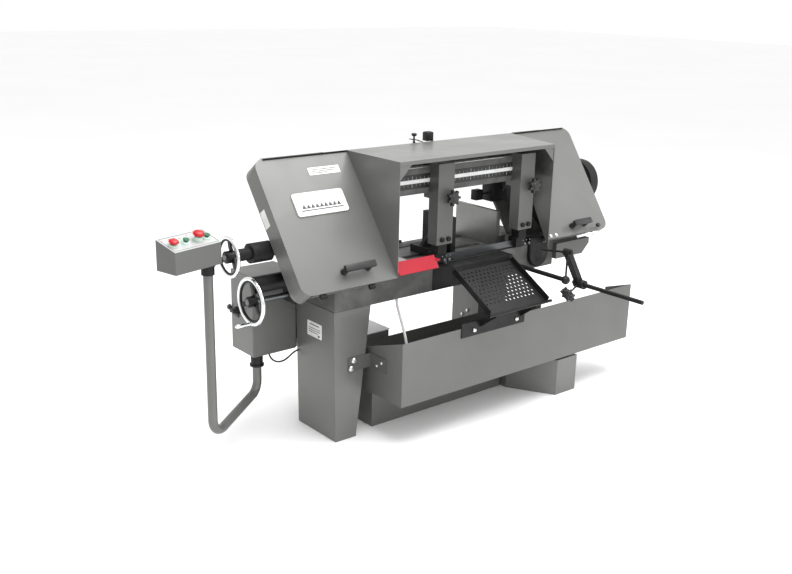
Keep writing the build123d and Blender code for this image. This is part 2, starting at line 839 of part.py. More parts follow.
def make_vise_cylinder():
    """Clamping cylinder over the screw, on a plate held off the bed's end."""
    x0 = end_plate_x
    x1 = x0 + end_plate_thickness
    barrel = rod((cylinder_left, screw_y, cylinder_z), (x0, screw_y, cylinder_z), cylinder_diameter)
    plate = block(x0, x1, screw_y - 40, screw_y + 40, screw_z - 30, cylinder_z + 36)
    plate -= rod((x0 - 1, screw_y, screw_z), (x1 + 1, screw_y, screw_z),
                 screw_diameter + 2 * shaft_gap)
    solid = barrel + plate
    for y in (screw_y - 30, screw_y + 30):
        solid += rod((x1, y, bed_top - 24), (bed_left, y, bed_top - 24), 16)
    return solid


# ---------------------------------------------------------------------------
# head
# ---------------------------------------------------------------------------
wheel_h = -wheel_setback
screw_h = wheel_h - screw_setback
plate_h = -backplate_setback


def gusset(x0):
    """Upright wall tying the beam to the leaning back plate and the hinge rail."""
    beam_back = beam_front + beam_depth
    _, foot_y, foot_z = leaning(0, 300, plate_h)
    _, top_y, top_z = leaning(0, backplate_head, plate_h)
    outline = [(beam_front + beam_wall, beam_foot), (beam_front + beam_wall, beam_top)]
    outline += [(hinge_y + 4, hinge_z - 14), (hinge_y + 26, hinge_z - 14), (top_y, top_z)]
    outline += [(foot_y, foot_z), (beam_back, beam_foot)]
    wall = prism_x(outline, x0, x0 + gusset_thickness)
    _, run_y, run_z = leaning(0, wheel_slope + wheel_diameter / 2, wheel_h)
    return wall - block(x0 - 1, x0 + gusset_thickness + 1, run_y - 30, run_y + 30,
                        run_z - 30, run_z + 30)


def make_head_frame():
    h0 = plate_h - backplate_thickness
    g = gusset_thickness
    clear_x = idler_x - 120
    end = lean_block(head_left, clear_x, backplate_clear, backplate_head, h0, plate_h)
    left = lean_block(clear_x, beam_left + g, backplate_foot, backplate_head, h0, plate_h)
    right = lean_block(beam_right - g, backplate_right, backplate_foot, backplate_head, h0, plate_h)
    frame = end + left + right + gusset(beam_left) + gusset(beam_right - g)
    rail_y = hinge_y + 8
    frame += block(guard_left + guard_corner, backplate_right, rail_y, rail_y + 14,
                   hinge_z - 34, hinge_z - 8)
    for x in hinge_lugs:
        curl = tube((x, hinge_y, hinge_z), (x + 12, hinge_y, hinge_z), hinge_pin_diameter + 4,
                    hinge_pin_diameter + 2 * shaft_gap)
        lug = block(x, x + 12, hinge_y + 4, rail_y + 4, hinge_z - 12, hinge_z)
        frame += curl + lug
    for x in (head_left + 20, backplate_right - 30):
        _, y, z = leaning(0, backplate_head - 30, plate_h)
        _, yy, zz = leaning(0, backplate_head, plate_h)
        strut = [(rail_y + 2, hinge_z - 30), (rail_y + 12, hinge_z - 20), (yy, zz), (y, z)]
        frame += prism_x(strut, x, x + 10)
    # slide rails of the tension carriage
    rail_h1 = screw_h + carriage_thickness / 2 - 8
    for side in (-1, 1):
        edge = wheel_slope + side * (carriage_height / 2 + running_gap)
        s0, s1 = sorted((edge, edge + side * 16))
        frame += lean_block(idler_x - 110, idler_x + 110, s0, s1, plate_h - 1, rail_h1)
    # drive shaft bore
    frame -= lean_disc(drive_x, wheel_slope, h0 - 1, plate_h + 1, axle_diameter + 20)
    # pivot lug
    lug = rod((pivot_x, lug_y0, pivot_z), (pivot_x, lug_y1, pivot_z), 2 * ear_radius)
    lug += block(pivot_x - ear_radius, pivot_x + ear_radius, lug_y0, lug_y1, pivot_z, pivot_z + 100)
    frame += lug & lean_block(pivot_x - 60, pivot_x + 60, -200, 600, plate_h - 200, plate_h - 2)
    bore = pivot_diameter + 2 * shaft_gap
    return frame - rod((pivot_x, lug_y0 - 1, pivot_z), (pivot_x, lug_y1 + 1, pivot_z), bore)


def make_pivot_pin():
    reach = ear_gap + ear_thickness + 4
    return rod((pivot_x, lug_y0 - reach, pivot_z), (pivot_x, lug_y1 + reach, pivot_z), pivot_diameter)


def make_pivot_bracket():
    x1 = bed_right + bracket_width
    w = bracket_wall
    cut = bracket_chamfer
    outline = [(bed_right, bracket_foot), (x1 - cut, bracket_foot), (x1, bracket_foot + cut)]
    outline += [(x1, bracket_top), (bed_right, bracket_top)]
    body = prism_y(outline, bracket_front, bracket_back)
    hollow = [(bed_right + w, bracket_foot - 1), (x1 - cut - w, bracket_foot - 1)]
    hollow += [(x1 - w, bracket_foot + cut), (x1 - w, bracket_top - w), (bed_right + w, bracket_top - w)]
    body -= prism_y(hollow, bracket_front + w, bracket_back - w)
    near = lug_y0 - ear_gap - ear_thickness
    far = lug_y1 + ear_gap
    for y in (near, far):
        body += rod((pivot_x, y, pivot_z), (pivot_x, y + ear_thickness, pivot_z), 2 * ear_radius)
        body += block(pivot_x - ear_radius, pivot_x + ear_radius, y, y + ear_thickness,
                      bracket_top - 1, pivot_z)
    bore = pivot_diameter + 2 * shaft_gap
    return body - rod((pivot_x, near - 5, pivot_z), (pivot_x, bracket_back + 5, pivot_z), bore)


def make_head_beam():
    y1 = beam_front + beam_depth
    x0 = beam_left + gusset_thickness
    x1 = beam_right - gusset_thickness
    beam = block(x0, x1, beam_front, y1, beam_foot, beam_top)
    beam -= block(x0 - 1, x1 + 1, beam_front + beam_wall, y1 - beam_wall,
                  beam_foot + beam_wall, beam_top - beam_wall)
    return beam


def make_scale():
    x0 = beam_left + gusset_thickness + 4
    x1 = beam_right - gusset_thickness - 4
    middle = (beam_foot + beam_top) / 2
    return block(x0, x1, beam_front - 1.2, beam_front, middle - 7, middle + 7)


def make_tension_housing():
    """Tube and flange block outside the cover, carried by a foot on the back plate's end."""
    _, y, z = leaning(0, wheel_slope, screw_h)
    x0 = tension_wheel_x + 32
    x1 = tension_block_left + tension_block_length
    body = rod((x0, y, z), (head_left + 14, y, z), tension_tube_diameter)
    body += rod((tension_block_left, y, z), (x1, y, z), tension_block_diameter)
    foot = lean_block(head_left, head_left + 14, wheel_slope - 40, wheel_slope + 40, plate_h, screw_h)
    bore = tension_screw_diameter + 2 * shaft_gap
    return body + foot - rod((x0 - 1, y, z), (head_left + 20, y, z), bore)


def make_tension_wheel():
    _, y, z = leaning(0, wheel_slope, screw_h)
    wheel = handwheel(tension_wheel_diameter, wheel_rim * 0.85, 44, 30, 0, 3)
    wheel = Pos(tension_wheel_x, y, z) * wheel
    wheel += rod((tension_wheel_x, y, z), (tension_wheel_x + 27, y, z), 32)
    end = idler_x + carriage_width / 2 + 12
    return wheel + rod((tension_wheel_x, y, z), (end, y, z), tension_screw_diameter)


def make_carriage():
    half = carriage_thickness / 2
    body = lean_block(idler_x - carriage_width / 2, idler_x + carriage_width / 2,
                      wheel_slope - carriage_height / 2, wheel_slope + carriage_height / 2,
                      screw_h - half, screw_h + half)
    body += lean_disc(idler_x, wheel_slope, screw_h + half - 1, wheel_h + wheel_width / 2 + 8,
                      axle_diameter)
    _, y, z = leaning(0, wheel_slope, screw_h)
    bore = tension_screw_diameter + 2 * shaft_gap
    return body - rod((idler_x - 100, y, z), (idler_x + 100, y, z), bore)


def band_wheel(x, bore):
    """Dished cast wheel: rim, web and hub round the axle."""
    half = wheel_width / 2
    rim = lean_disc(x, wheel_slope, wheel_h - half, wheel_h + half, wheel_diameter)
    rim -= lean_disc(x, wheel_slope, wheel_h - half - 1, wheel_h + half + 1, wheel_diameter - 28)
    web = lean_disc(x, wheel_slope, wheel_h - 6, wheel_h + 6, wheel_diameter - 20)
    hub = lean_disc(x, wheel_slope, wheel_h - half - 6, wheel_h + half + 2, 84)
    wheel = rim + web + hub
    for number in range(6):
        angle = math.radians(number * 60)
        reach = wheel_diameter * 0.31
        wheel -= lean_disc(x + reach * math.cos(angle), wheel_slope + reach * math.sin(angle),
                           wheel_h - 20, wheel_h + 20, 54)
    return wheel - lean_disc(x, wheel_slope, wheel_h - 40, wheel_h + 40, bore)


def make_idler_wheel():
    return band_wheel(idler_x, axle_diameter + 2 * shaft_gap)


gearbox_h1 = plate_h - backplate_thickness


def make_drive_wheel():
    shaft = lean_disc(drive_x, wheel_slope, gearbox_h1 - 30, wheel_h + wheel_width / 2 + 6,
                      axle_diameter)
    return band_wheel(drive_x, axle_diameter - 1) + shaft


gearbox_right = drive_x + gearbox_reach


def make_gearbox():
    body = lean_block(gearbox_right - gearbox_length, gearbox_right, gearbox_foot,
                      gearbox_foot + gearbox_rise, gearbox_h1 - gearbox_depth, gearbox_h1)
    body += rod((gearbox_right - 1, motor_y, motor_z), (motor_left, motor_y, motor_z),
                motor_neck_diameter)
    return body - lean_disc(drive_x, wheel_slope, gearbox_h1 - 30.5, gearbox_h1 + 1,
                            axle_diameter + 2 * shaft_gap)


def make_motor():
    x0 = motor_left
    x1 = motor_left + motor_length
    cap = motor_cover_length
    bell = rod((x0, motor_y, motor_z), (x0 + 40, motor_y, motor_z), motor_diameter - 16)
    body = rod((x0 + 39, motor_y, motor_z), (x1 - cap + 1, motor_y, motor_z), motor_diameter - 28)
    cover = rod((x1 - cap, motor_y, motor_z), (x1, motor_y, motor_z), motor_diameter)
    return bell + body + cover


blade_radius = wheel_diameter / 2 + 0.3


def blade_section(x, y, z, lean_angle):
    """The blade's rectangle across X, standing up at angle 0."""
    plane = Plane(origin=(x, y, z), x_dir=(0, 1, 0), z_dir=(1, 0, 0))
    return plane * Rot(0, 0, lean_angle) * Rectangle(blade_thickness, blade_width)


def make_blade():
    """Endless band: round both wheels and twisted upright between the guides."""
    r = blade_radius
    run = Plane(origin=leaning(0, wheel_slope, wheel_h - blade_width / 2), x_dir=(1, 0, 0),
                z_dir=outward)
    t = blade_thickness
    outer = Pos(drive_x, 0) * Circle(r + t) + Pos(idler_x, 0) * Circle(r + t)
    outer += Pos((drive_x + idler_x) / 2, 0) * Rectangle(drive_x - idler_x, 2 * (r + t))
    inner = Pos(drive_x, 0) * Circle(r) + Pos(idler_x, 0) * Circle(r)
    inner += Pos((drive_x + idler_x) / 2, 0) * Rectangle(drive_x - idler_x, 2 * r)
    loop = extrude(run * (outer - inner), blade_width)
    start = left_arm_x - 250
    end = right_arm_x + 190
    _, y, z = leaning(0, wheel_slope - r - t / 2, wheel_h)
    gap = block(start, end, y - 40, y + 40, z - 40, z + 40)
    loop -= gap
    upright = blade_foot + blade_width / 2
    tilt = math.degrees(math.atan2(lean_z, lean_y))
    x_in = start + blade_twist
    x_out = end - blade_twist
    first = loft([blade_section(start, y, z, tilt), blade_section(x_in, y, upright, 0)], ruled=True)
    last = loft([blade_section(x_out, y, upright, 0), blade_section(end, y, z, tilt)], ruled=True)
    t2 = blade_thickness / 2
    half = blade_width / 2
    middle = block(x_in, x_out, y - t2, y + t2, upright - half, upright + half)
    return loop + first + middle + last


def make_guide_arm(x):
    half = arm_width / 2
    y1 = beam_front - running_gap
    face = block(x - half, x + half, arm_front, y1, arm_foot, arm_top)
    face -= block(x - half + 8, x + half - 8, arm_front + 10, y1 + 1, arm_foot - 1, beam_foot - 20)
    hook = block(x - half, x + half, arm_front, beam_front + 40, beam_top + running_gap, arm_top)
    keeper = block(x - half, x + half, arm_front + 20, beam_front + 30, beam_foot - 22,
                   beam_foot - running_gap)
    cut = scale_clear(x)
    bore = rod((x + 18, arm_front - 5, knob_z), (x + 18, beam_front, knob_z), 10 + 2 * shaft_gap)
    return face + hook + keeper - cut - bore


def scale_clear(x):
    """Relief in the arm's back so that it passes over the scale."""
    middle = (beam_foot + beam_top) / 2
    return block(x - arm_width, x + arm_width, beam_front - 2.5, beam_front, middle - 9, middle + 9)


def make_guide_block(x):
    """Guide head under an arm: jaws both sides of the blade, and its upper stem."""
    _, y, _ = leaning(0, wheel_slope - blade_radius - blade_thickness / 2, wheel_h)
    gap = blade_thickness / 2 + 0.3
    top = blade_foot + blade_width + 0.5
    low = block_foot
    w = guide_half
    front = block(x - w, x + w, y - gap - 22, y - gap, low, top + 12)
    back = block(x - w, x + w, y + gap, y + gap + 22, low, top + 12)
    bridge = block(x - w, x + w, y - gap - 22, y + gap + 22, top, top + 14)
    stem = block(x - 22, x + 22, arm_front + 10, beam_front - 2, top + 13, arm_foot + 70)
    return front + back + bridge + stem


def make_arm_knob(x):
    reach = 14.0
    y = arm_front
    stem = rod((x + 18, y - reach, knob_z), (x + 18, beam_front - 1, knob_z), 10)
    plane = Plane(origin=(x + 18, y - reach, knob_z), z_dir=(0, -1, 0))
    return stem + plane.location * star_knob(knob_diameter, 18)


def make_front_blade_guard():
    """Bent red plate over the blade between the left guard and the left guide."""
    x0 = window_left + 20
    x1 = left_arm_x - arm_width / 2 - 6
    t = red_guard_sheet
    back = -red_guard_setback
    foot = red_guard_foot
    plate = lean_block(x0, x1, foot, foot + red_guard_length, back, back + t)
    _, y, z = leaning(0, foot, back)
    lip = block(x0, x1, y, y + t, bed_top + 1.2, z + 4)
    _, tab_y, tab_z = leaning(0, 40, back + t / 2)
    tab = block(x1 - 6, left_arm_x - guide_half, tab_y - 3, -6, tab_z - 3, tab_z + 4)
    return plate + lip + tab


def cover_plate(outline, corners, rim_x0, rim_x1):
    """A leaning plate with two round outer corners and a rolled rim between two x."""
    face = make_face(Polyline(*outline, close=True).edges())
    for x, way in corners:
        near = [v for v in face.vertices() if abs(v.X - x) < 1 and (v.Y > 300) == way]
        face = fillet(near, guard_corner)
    outer = lean * face
    inner = lean * offset(face, -guard_sheet)
    plate = extrude(outer, -guard_sheet)
    pan = extrude(outer, -guard_rim) - extrude(inner, -guard_rim - 1)
    return plate + (pan & lean_block(rim_x0, rim_x1, -50, 700, -guard_rim, 0))


def make_guard():
    """One folded and welded cover: two leaning plates, two cheeks and the roof."""
    t = guard_sheet
    top = guard_slope_length
    lift = guard_right_lift
    flare = window_right + window_flare
    far = guard_right + guard_flare
    left = [(guard_left, 0), (window_left, 0), (window_left, top), (guard_left, top)]
    shell = cover_plate(left, [(guard_left, False), (guard_left, True)], guard_left - 1,
                        guard_left + guard_corner - 8)
    low_x = window_right + window_flare * lift / top
    right = [(low_x, lift), (guard_right, lift), (far, top), (flare, top)]
    shell += cover_plate(right, [(guard_right, False), (far, True)], far - guard_corner - 20, far + 1)
    _, back_y, top_z = leaning(0, top, 0)
    front = guard_foot_y
    sink = t / 2
    _, low_y, low_z = leaning(0, 1, -sink)
    _, high_y, high_z = leaning(0, top - 1, -sink)
    shell += prism_x([(front, low_z), (front, top_z), (high_y, top_z), (high_y, high_z), (low_y, low_z)],
                     window_left - t, window_left)
    near_x = window_right + window_flare * (high_y - front) / (back_y - front)
    points = [(window_right, front, low_z), (window_right, front, top_z), (near_x, high_y, top_z)]
    points += [(near_x, high_y, high_z)]
    face = make_face(Polyline(*points, close=True).edges())
    normal = face.faces()[0].normal_at()
    away = normal if normal.X > 0 else normal * -1
    shell += extrude(face, t, dir=tuple(away))
    roof = [(window_left - sink, front), (window_right + sink, front)]
    roof += [(near_x + sink, high_y), (window_left - sink, high_y)]
    shell += prism_z(roof, top_z - t, top_z)
    shell += block(window_left - sink, window_right + sink, front, front + t, top_z - roof_lip, top_z)
    for x, way in ((window_left, 1), (window_right, -1)):
        outline = [(x, top_z - 70), (x, top_z - t), (x + way * 66, top_z - t)]
        shell += prism_y(outline, front + t, front + 2 * t)
    shell += lean_block(guard_left + guard_corner, window_left - flange_end_gap, 0, t, -flange_depth, 0)
    shell += lean_block(low_x + 2, guard_right - guard_corner, lift, lift + t, -flange_depth, 0)
    # hinge curls along the top back edge
    for x0, x1 in hinge_curls:
        curl = tube((x0, hinge_y, hinge_z), (x1, hinge_y, hinge_z), hinge_pin_diameter + 4,
                    hinge_pin_diameter + 2 * shaft_gap)
        cut = rod((x0, hinge_y, hinge_z), (x1, hinge_y, hinge_z), hinge_pin_diameter + 2 * shaft_gap)
        leaf = block(x0, x1, back_y - 4, hinge_y - 1, hinge_z + 3.4, hinge_z + 4.6) - cut
        shell += curl + leaf
    latch = lift + latch_s
    return shell - lean_disc(latch_x, latch, -t - 5, 5, latch_stem + 2 * shaft_gap)


def make_guard_handles():
    grips = []
    half = handle_width / 2
    for x, s, length in (left_handle, right_handle):
        bar = lean_block(x - length / 2, x + length / 2, s - half, s + half,
                         handle_clear, handle_clear + 14)
        for end in (-1, 1):
            edge = x + end * (length / 2 - 12)
            bar += lean_block(edge - 12, edge + 12, s - half, s + half, 0, handle_clear + 1)
        grips.append(bar)
    return Compound(grips)


def make_guard_latch():
    """Quarter-turn latch: stem through the right plate, tongue inside, knob outside."""
    low = guard_right_lift + latch_s
    knob = lean_disc(latch_x, low, running_gap, 16, 18)
    stem = lean_disc(latch_x, low, -14, 4, latch_stem)
    tongue = lean_block(latch_x - 34, latch_x + 8, low - 6, low + 6, -16, -12)
    return knob + stem + tongue


def make_hinge_pin():
    return rod((guard_left + 36, hinge_y, hinge_z), (backplate_right - 6, hinge_y, hinge_z),
               hinge_pin_diameter)


# ----- hose and cable ------------------------------------------------------
def cord(points, diameter):
    """Straight runs joined by arcs as large as the runs allow."""
    radii = []
    for a, b, c in zip(points, points[1:], points[2:]):
        back = Vector(*a) - Vector(*b)
        ahead = Vector(*c) - Vector(*b)
        turn = 180 - back.get_angle(ahead)
        radii.append(0.45 * min(back.length, ahead.length) / math.tan(math.radians(turn) / 2))
    path = FilletPolyline(*points, radius=radii)
    start = Plane(origin=path @ 0, z_dir=path % 0)
    solid = sweep(start * Circle(diameter / 2), path=path)
    section = math.pi * diameter ** 2 / 4
    print("cord", diameter, "length", round(path.length, 1), "volume share",
          round(solid.volume / (section * path.length), 4), "radii", [round(r) for r in radii])
    return solid


hose_diameter = 11.0
hose_points = [(330, 60, bed_foot), (330, 60, 484), (333, 52, 452), (337, 42, 420), (340, 30, 388),
               (342, 18, 356), (343, 9, 324), (343, 4, 292), (343, 3, 262)]
cable_diameter = 7.0
cable_points = [(-100, 300, ebox_foot), (-100, 300, 285), (-93, 293, 266), (-80, 284, 255),
                (-64, 274, 254), (-49, 264, 262), (-38, 256, 274), (-28, 250, 286),
                (-16, 243.5, 297), (-3, 237.5, 303)]


def make_cable():
    """From the box's underside to the pedestal's left side, cut flush with it."""
    pedestal = frustum((0, pedestal_foot_width, 0, pedestal_depth), 0,
                       (-pedestal_spread, pedestal_head_width, 0, pedestal_depth), bed_foot)
    return cord(cable_points, cable_diameter) - pedestal


# ---------------------------------------------------------------------------
# every node, in machine coordinates
# ---------------------------------------------------------------------------
def make_nodes():
    nodes = {
        "left_pedestal": make_left_pedestal(),
        "right_pedestal": make_right_pedestal(),
        "bed": make_bed() + make_rear_rail(),
        "apron_table": make_apron(),
        "coolant_tank": make_tank(),
        "tank_cover": make_tank_cover(),
        "chip_tray": make_tray(),
        "tray_bracket": make_tray_bracket(),
        "discharge_chute": make_chute(),
        "chute_bracket": make_chute_bracket(),
        "base_bolts": make_base_bolts(),
        "stop_bar": make_stop_bar(),
        "stop_arm": make_stop_arm(),
        "stop_rod": make_stop_rod(),
        "stop_knob": make_stop_knob(),
        "electrical_box": make_ebox(),
        "electrical_cover": make_ebox_cover(),
        "switch_knob": make_switch_knob(),
        "lower_collar": make_lower_collar(),
        "control_pipe": make_control_pipe(),
        "upper_collar": make_upper_collar(),
        "control_box": make_console(),
        "control_plate": make_panel(),
        "button_bezels": make_bezels(),
        "stop_button": make_button(0, stop_cap_diameter, 12, True),
        "start_button": make_button(1, push_button_diameter, 5, False),
        "emergency_stop": make_button(2, estop_diameter, 15, True),
        "feed_button": make_button(3, push_button_diameter, 5, False),
        "vise_left_jaw": make_moving_jaw(),
        "vise_right_jaw": make_fixed_jaw(),
        "vise_screw": make_vise_screw(),
        "vise_handwheel": make_vise_wheel(),
        "crank_handle": make_crank_handle(),
        "vise_cylinder": make_vise_cylinder(),
        "pivot_bracket": make_pivot_bracket(),
        "pivot_pin": make_pivot_pin(),
        "head_frame": make_head_frame(),
        "head_beam": make_head_beam(),
        "scale_strip": make_scale(),
        "tension_housing": make_tension_housing(),
        "tension_handwheel": make_tension_wheel(),
        "idler_carriage": make_carriage(),
        "idler_wheel": make_idler_wheel(),
        "drive_wheel": make_drive_wheel(),
        "gearbox": make_gearbox(),
        "motor": make_motor(),
        "blade": make_blade(),
        "left_guide_arm": make_guide_arm(left_arm_x),
        "left_guide_block": make_guide_block(left_arm_x),
        "left_arm_knob": make_arm_knob(left_arm_x),
        "right_guide_arm": make_guide_arm(right_arm_x),
        "right_guide_block": make_guide_block(right_arm_x),
        "right_arm_knob": make_arm_knob(right_arm_x),
        "front_blade_guard": make_front_blade_guard(),
        "blade_guard": make_guard(),
        "guard_handles": make_guard_handles(),
        "guard_latch": make_guard_latch(),
        "guard_hinge_pin": make_hinge_pin(),
        "coolant_hose": cord(hose_points, hose_diameter),
        "box_cable": make_cable(),
    }
    return nodes


def base_shift(nodes):
    """Vector that puts the whole saw's bottom centre on the origin."""
    low = [1e9, 1e9, 1e9]
    high = [-1e9, -1e9, -1e9]
    for solid in nodes.values():
        box = solid.bounding_box()
        for axis, (a, b) in enumerate(zip(box.min, box.max)):
            low[axis] = min(low[axis], a)
            high[axis] = max(high[axis], b)
    return (-(low[0] + high[0]) / 2, -(low[1] + high[1]) / 2, -low[2])


def main():
    os.makedirs("parts", exist_ok=True)
    nodes = make_nodes()
    shift = Pos(*base_shift(nodes))
    for name, solid in nodes.items():
        export_step(shift * solid, f"parts/{name}.step")
    print("nodes", len(nodes), "shift", base_shift(nodes))


if __name__ == "__main__":
    main()
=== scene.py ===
import math

import bpy
from mathutils import Matrix, Vector


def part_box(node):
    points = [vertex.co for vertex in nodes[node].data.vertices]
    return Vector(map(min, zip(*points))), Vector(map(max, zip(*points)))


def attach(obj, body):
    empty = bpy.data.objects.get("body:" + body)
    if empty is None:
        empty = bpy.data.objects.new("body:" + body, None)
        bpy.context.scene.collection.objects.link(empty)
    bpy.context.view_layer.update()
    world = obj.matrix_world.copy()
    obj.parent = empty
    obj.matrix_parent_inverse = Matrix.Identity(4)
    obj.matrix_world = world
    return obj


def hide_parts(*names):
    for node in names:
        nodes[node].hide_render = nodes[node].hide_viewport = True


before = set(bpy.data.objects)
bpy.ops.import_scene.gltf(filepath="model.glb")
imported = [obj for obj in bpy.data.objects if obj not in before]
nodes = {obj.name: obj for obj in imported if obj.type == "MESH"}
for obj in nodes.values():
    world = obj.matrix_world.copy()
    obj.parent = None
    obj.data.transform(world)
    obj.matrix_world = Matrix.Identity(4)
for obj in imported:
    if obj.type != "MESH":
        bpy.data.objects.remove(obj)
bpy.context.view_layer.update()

# ---------------------------------------------------------------------------
# Places. Distances below are millimetres from the left pedestal's front foot:
# x along the saw, y to the back, z up. The head leans back on a 3-4-5 slope.
# ---------------------------------------------------------------------------
MM = 0.001
PEDESTAL_SPREAD = 9.0
foot_low, foot_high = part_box("left_pedestal")
ORIGIN = Vector((foot_low[0] + PEDESTAL_SPREAD * MM, foot_low[1], 0.0))
LEAN = math.atan2(0.8, 0.6)
GUARD_FOOT_Y = -70.0
GUARD_FOOT_Z = 624.0
HANDLE_RISE = 37.0
CRANK_Z = 488.5
BLOCK_FACE_Y = -43.5


def spot(x, y, z):
    """A machine place in millimetres as a point of the frame in metres."""
    return ORIGIN + Vector((x, y, z)) * MM


def leaning(x, s, h):
    """s is up the head's slope and h outwards from the cover's face."""
    return spot(x, GUARD_FOOT_Y + 0.6 * s - 0.8 * h, GUARD_FOOT_Z + 0.8 * s + 0.6 * h)


# ---------------------------------------------------------------------------
# Camera
# ---------------------------------------------------------------------------
def make_camera():
    azimuth = math.radians(-39.746)
    elevation = math.radians(16.968)
    roll = math.radians(1.34)
    back = Vector((math.sin(azimuth) * math.cos(elevation),
                   -math.cos(azimuth) * math.cos(elevation), math.sin(elevation)))
    right = Vector((math.cos(azimuth), math.sin(azimuth), 0.0))
    up = back.cross(right)
    across = math.cos(roll) * right + math.sin(roll) * up
    upwards = -math.sin(roll) * right + math.cos(roll) * up
    data = bpy.data.cameras.new("camera")
    data.sensor_width = 36.0
    data.lens = 44.79
    data.clip_end = 100.0
    camera = bpy.data.objects.new("camera", data)
    bpy.context.scene.collection.objects.link(camera)
    turn = Matrix((across, upwards, back)).transposed().to_4x4()
    camera.matrix_world = Matrix.Translation(spot(-1992.0, -2729.0, 1646.0)) @ turn
    bpy.context.scene.camera = camera


make_camera()


# ---------------------------------------------------------------------------
# Materials
# ---------------------------------------------------------------------------
class Finish:
    """A material with its shader and a few ways to work its surface."""

    def __init__(self, name, colour, rough, metal=0.0, coat=0.0):
        self.material = bpy.data.materials.new(name)
        self.material.use_nodes = True
        self.tree = self.material.node_tree
        self.shader = self.tree.nodes["Principled BSDF"]
        self.shader.inputs["Base Color"].default_value = (*colour, 1.0)
        self.shader.inputs["Roughness"].default_value = rough
        self.shader.inputs["Metallic"].default_value = metal
        self.shader.inputs["Coat Weight"].default_value = coat
        self.place = self.node("ShaderNodeTexCoord").outputs["Object"]
        self.normal = None

    def node(self, kind, **values):
        made = self.tree.nodes.new(kind)
        for name, value in values.items():
            made.inputs[name].default_value = value
        return made

    def link(self, start, end):
        self.tree.links.new(start, end)

    def stretched(self, scale):
        mapping = self.node("ShaderNodeMapping", Scale=scale)
        self.link(self.place, mapping.inputs["Vector"])
        return mapping.outputs["Vector"]

    def noise(self, size, detail=3.0, place=None, rough=0.5):
        made = self.node("ShaderNodeTexNoise", Scale=size, Detail=detail, Roughness=rough)
        self.link(place or self.place, made.inputs["Vector"])
        return made.outputs["Fac"]

    def ramp(self, source, low, high, stops):
        made = self.tree.nodes.new("ShaderNodeValToRGB")
        elements = made.color_ramp.elements
        elements[0].position = stops[0]
        elements[1].position = stops[1]
        elements[0].color = (*low, 1.0)
        elements[1].color = (*high, 1.0)
        self.link(source, made.inputs["Fac"])
        return made.outputs["Color"]

    def tint(self, size, low, high, stops=(0.35, 0.7), detail=4.0, place=None):
        """Colour that drifts between two tones."""
        colour = self.ramp(self.noise(size, detail, place), low, high, stops)
        self.link(colour, self.shader.inputs["Base Color"])
        return self

    def gloss(self, size, low, high, place=None):
        """Roughness that drifts between two values."""
        spread = self.node("ShaderNodeMapRange")
        spread.inputs["From Min"].default_value = 0.3
        spread.inputs["From Max"].default_value = 0.7
        spread.inputs["To Min"].default_value = low
        spread.inputs["To Max"].default_value = high
        self.link(self.noise(size, 5.0, place), spread.inputs["Value"])
        self.link(spread.outputs["Result"], self.shader.inputs["Roughness"])
        return self

    def bump(self, size, depth, strength=0.3, detail=2.0, place=None):
        """Fine relief; several calls stack."""
        made = self.node("ShaderNodeBump", Strength=strength, Distance=depth)
        self.link(self.noise(size, detail, place), made.inputs["Height"])
        if self.normal:
            self.link(self.normal, made.inputs["Normal"])
        self.normal = made.outputs["Normal"]
        self.link(self.normal, self.shader.inputs["Normal"])
        return self


def shade(colour, factor):
    return tuple(min(1.0, part * factor) for part in colour)


def enamel(name, colour, rough, metal=0.0, coat=0.0, peel=0.00012):
    """Sprayed paint: slow drift of tone, orange peel and a few dull patches."""
    made = Finish(name, colour, rough, metal, coat)
    made.tint(3.1, shade(colour, 0.93), shade(colour, 1.07))
    made.gloss(7.0, rough - 0.05, rough + 0.08)
    return made.bump(420.0, peel, 0.25).material


def casting(name, colour, rough, metal=0.0, grain=160.0, depth=0.0006):
    """Rough cast or thick black paint over iron."""
    made = Finish(name, colour, rough, metal)
    made.shader.inputs["Specular IOR Level"].default_value = 0.25
    made.tint(14.0, shade(colour, 0.75), shade(colour, 1.3))
    made.gloss(22.0, rough - 0.1, rough + 0.12)
    made.bump(grain, depth, 0.35, 4.0)
    return made.bump(grain * 5.0, depth * 0.3, 0.25).material


def machined(name, colour, rough, scale, depth=0.00005):
    """Ground or brushed metal with its lay across the given directions."""
    made = Finish(name, colour, rough, 1.0)
    lay = made.stretched(scale)
    made.tint(1.0, shade(colour, 0.8), shade(colour, 1.12), (0.25, 0.75), 6.0, lay)
    made.gloss(1.0, rough - 0.08, rough + 0.12, lay)
    return made.bump(1.0, depth, 0.35, 5.0, lay).material


def chrome(name, colour=(0.86, 0.87, 0.88)):
    made = Finish(name, colour, 0.1, 1.0)
    made.tint(9.0, shade(colour, 0.94), colour)
    made.gloss(30.0, 0.06, 0.16)
    return made.bump(60.0, 0.00008, 0.08).material


def moulded(name, colour, rough, grain=900.0, coat=0.0):
    made = Finish(name, colour, rough, 0.0, coat)
    made.tint(18.0, shade(colour, 0.9), shade(colour, 1.1))
    made.gloss(40.0, rough - 0.04, rough + 0.06)
    return made.bump(grain, 0.00006, 0.2).material


def ground_flat(name, colour):
    """Ground iron: fine cross lay with darker wear spots."""
    made = Finish(name, colour, 0.36, 0.85)
    lay = made.stretched((420.0, 25.0, 420.0))
    made.tint(5.0, shade(colour, 0.72), shade(colour, 1.15), (0.3, 0.75), 6.0)
    made.gloss(1.0, 0.28, 0.46, lay)
    return made.bump(1.0, 0.00005, 0.3, 4.0, lay).material


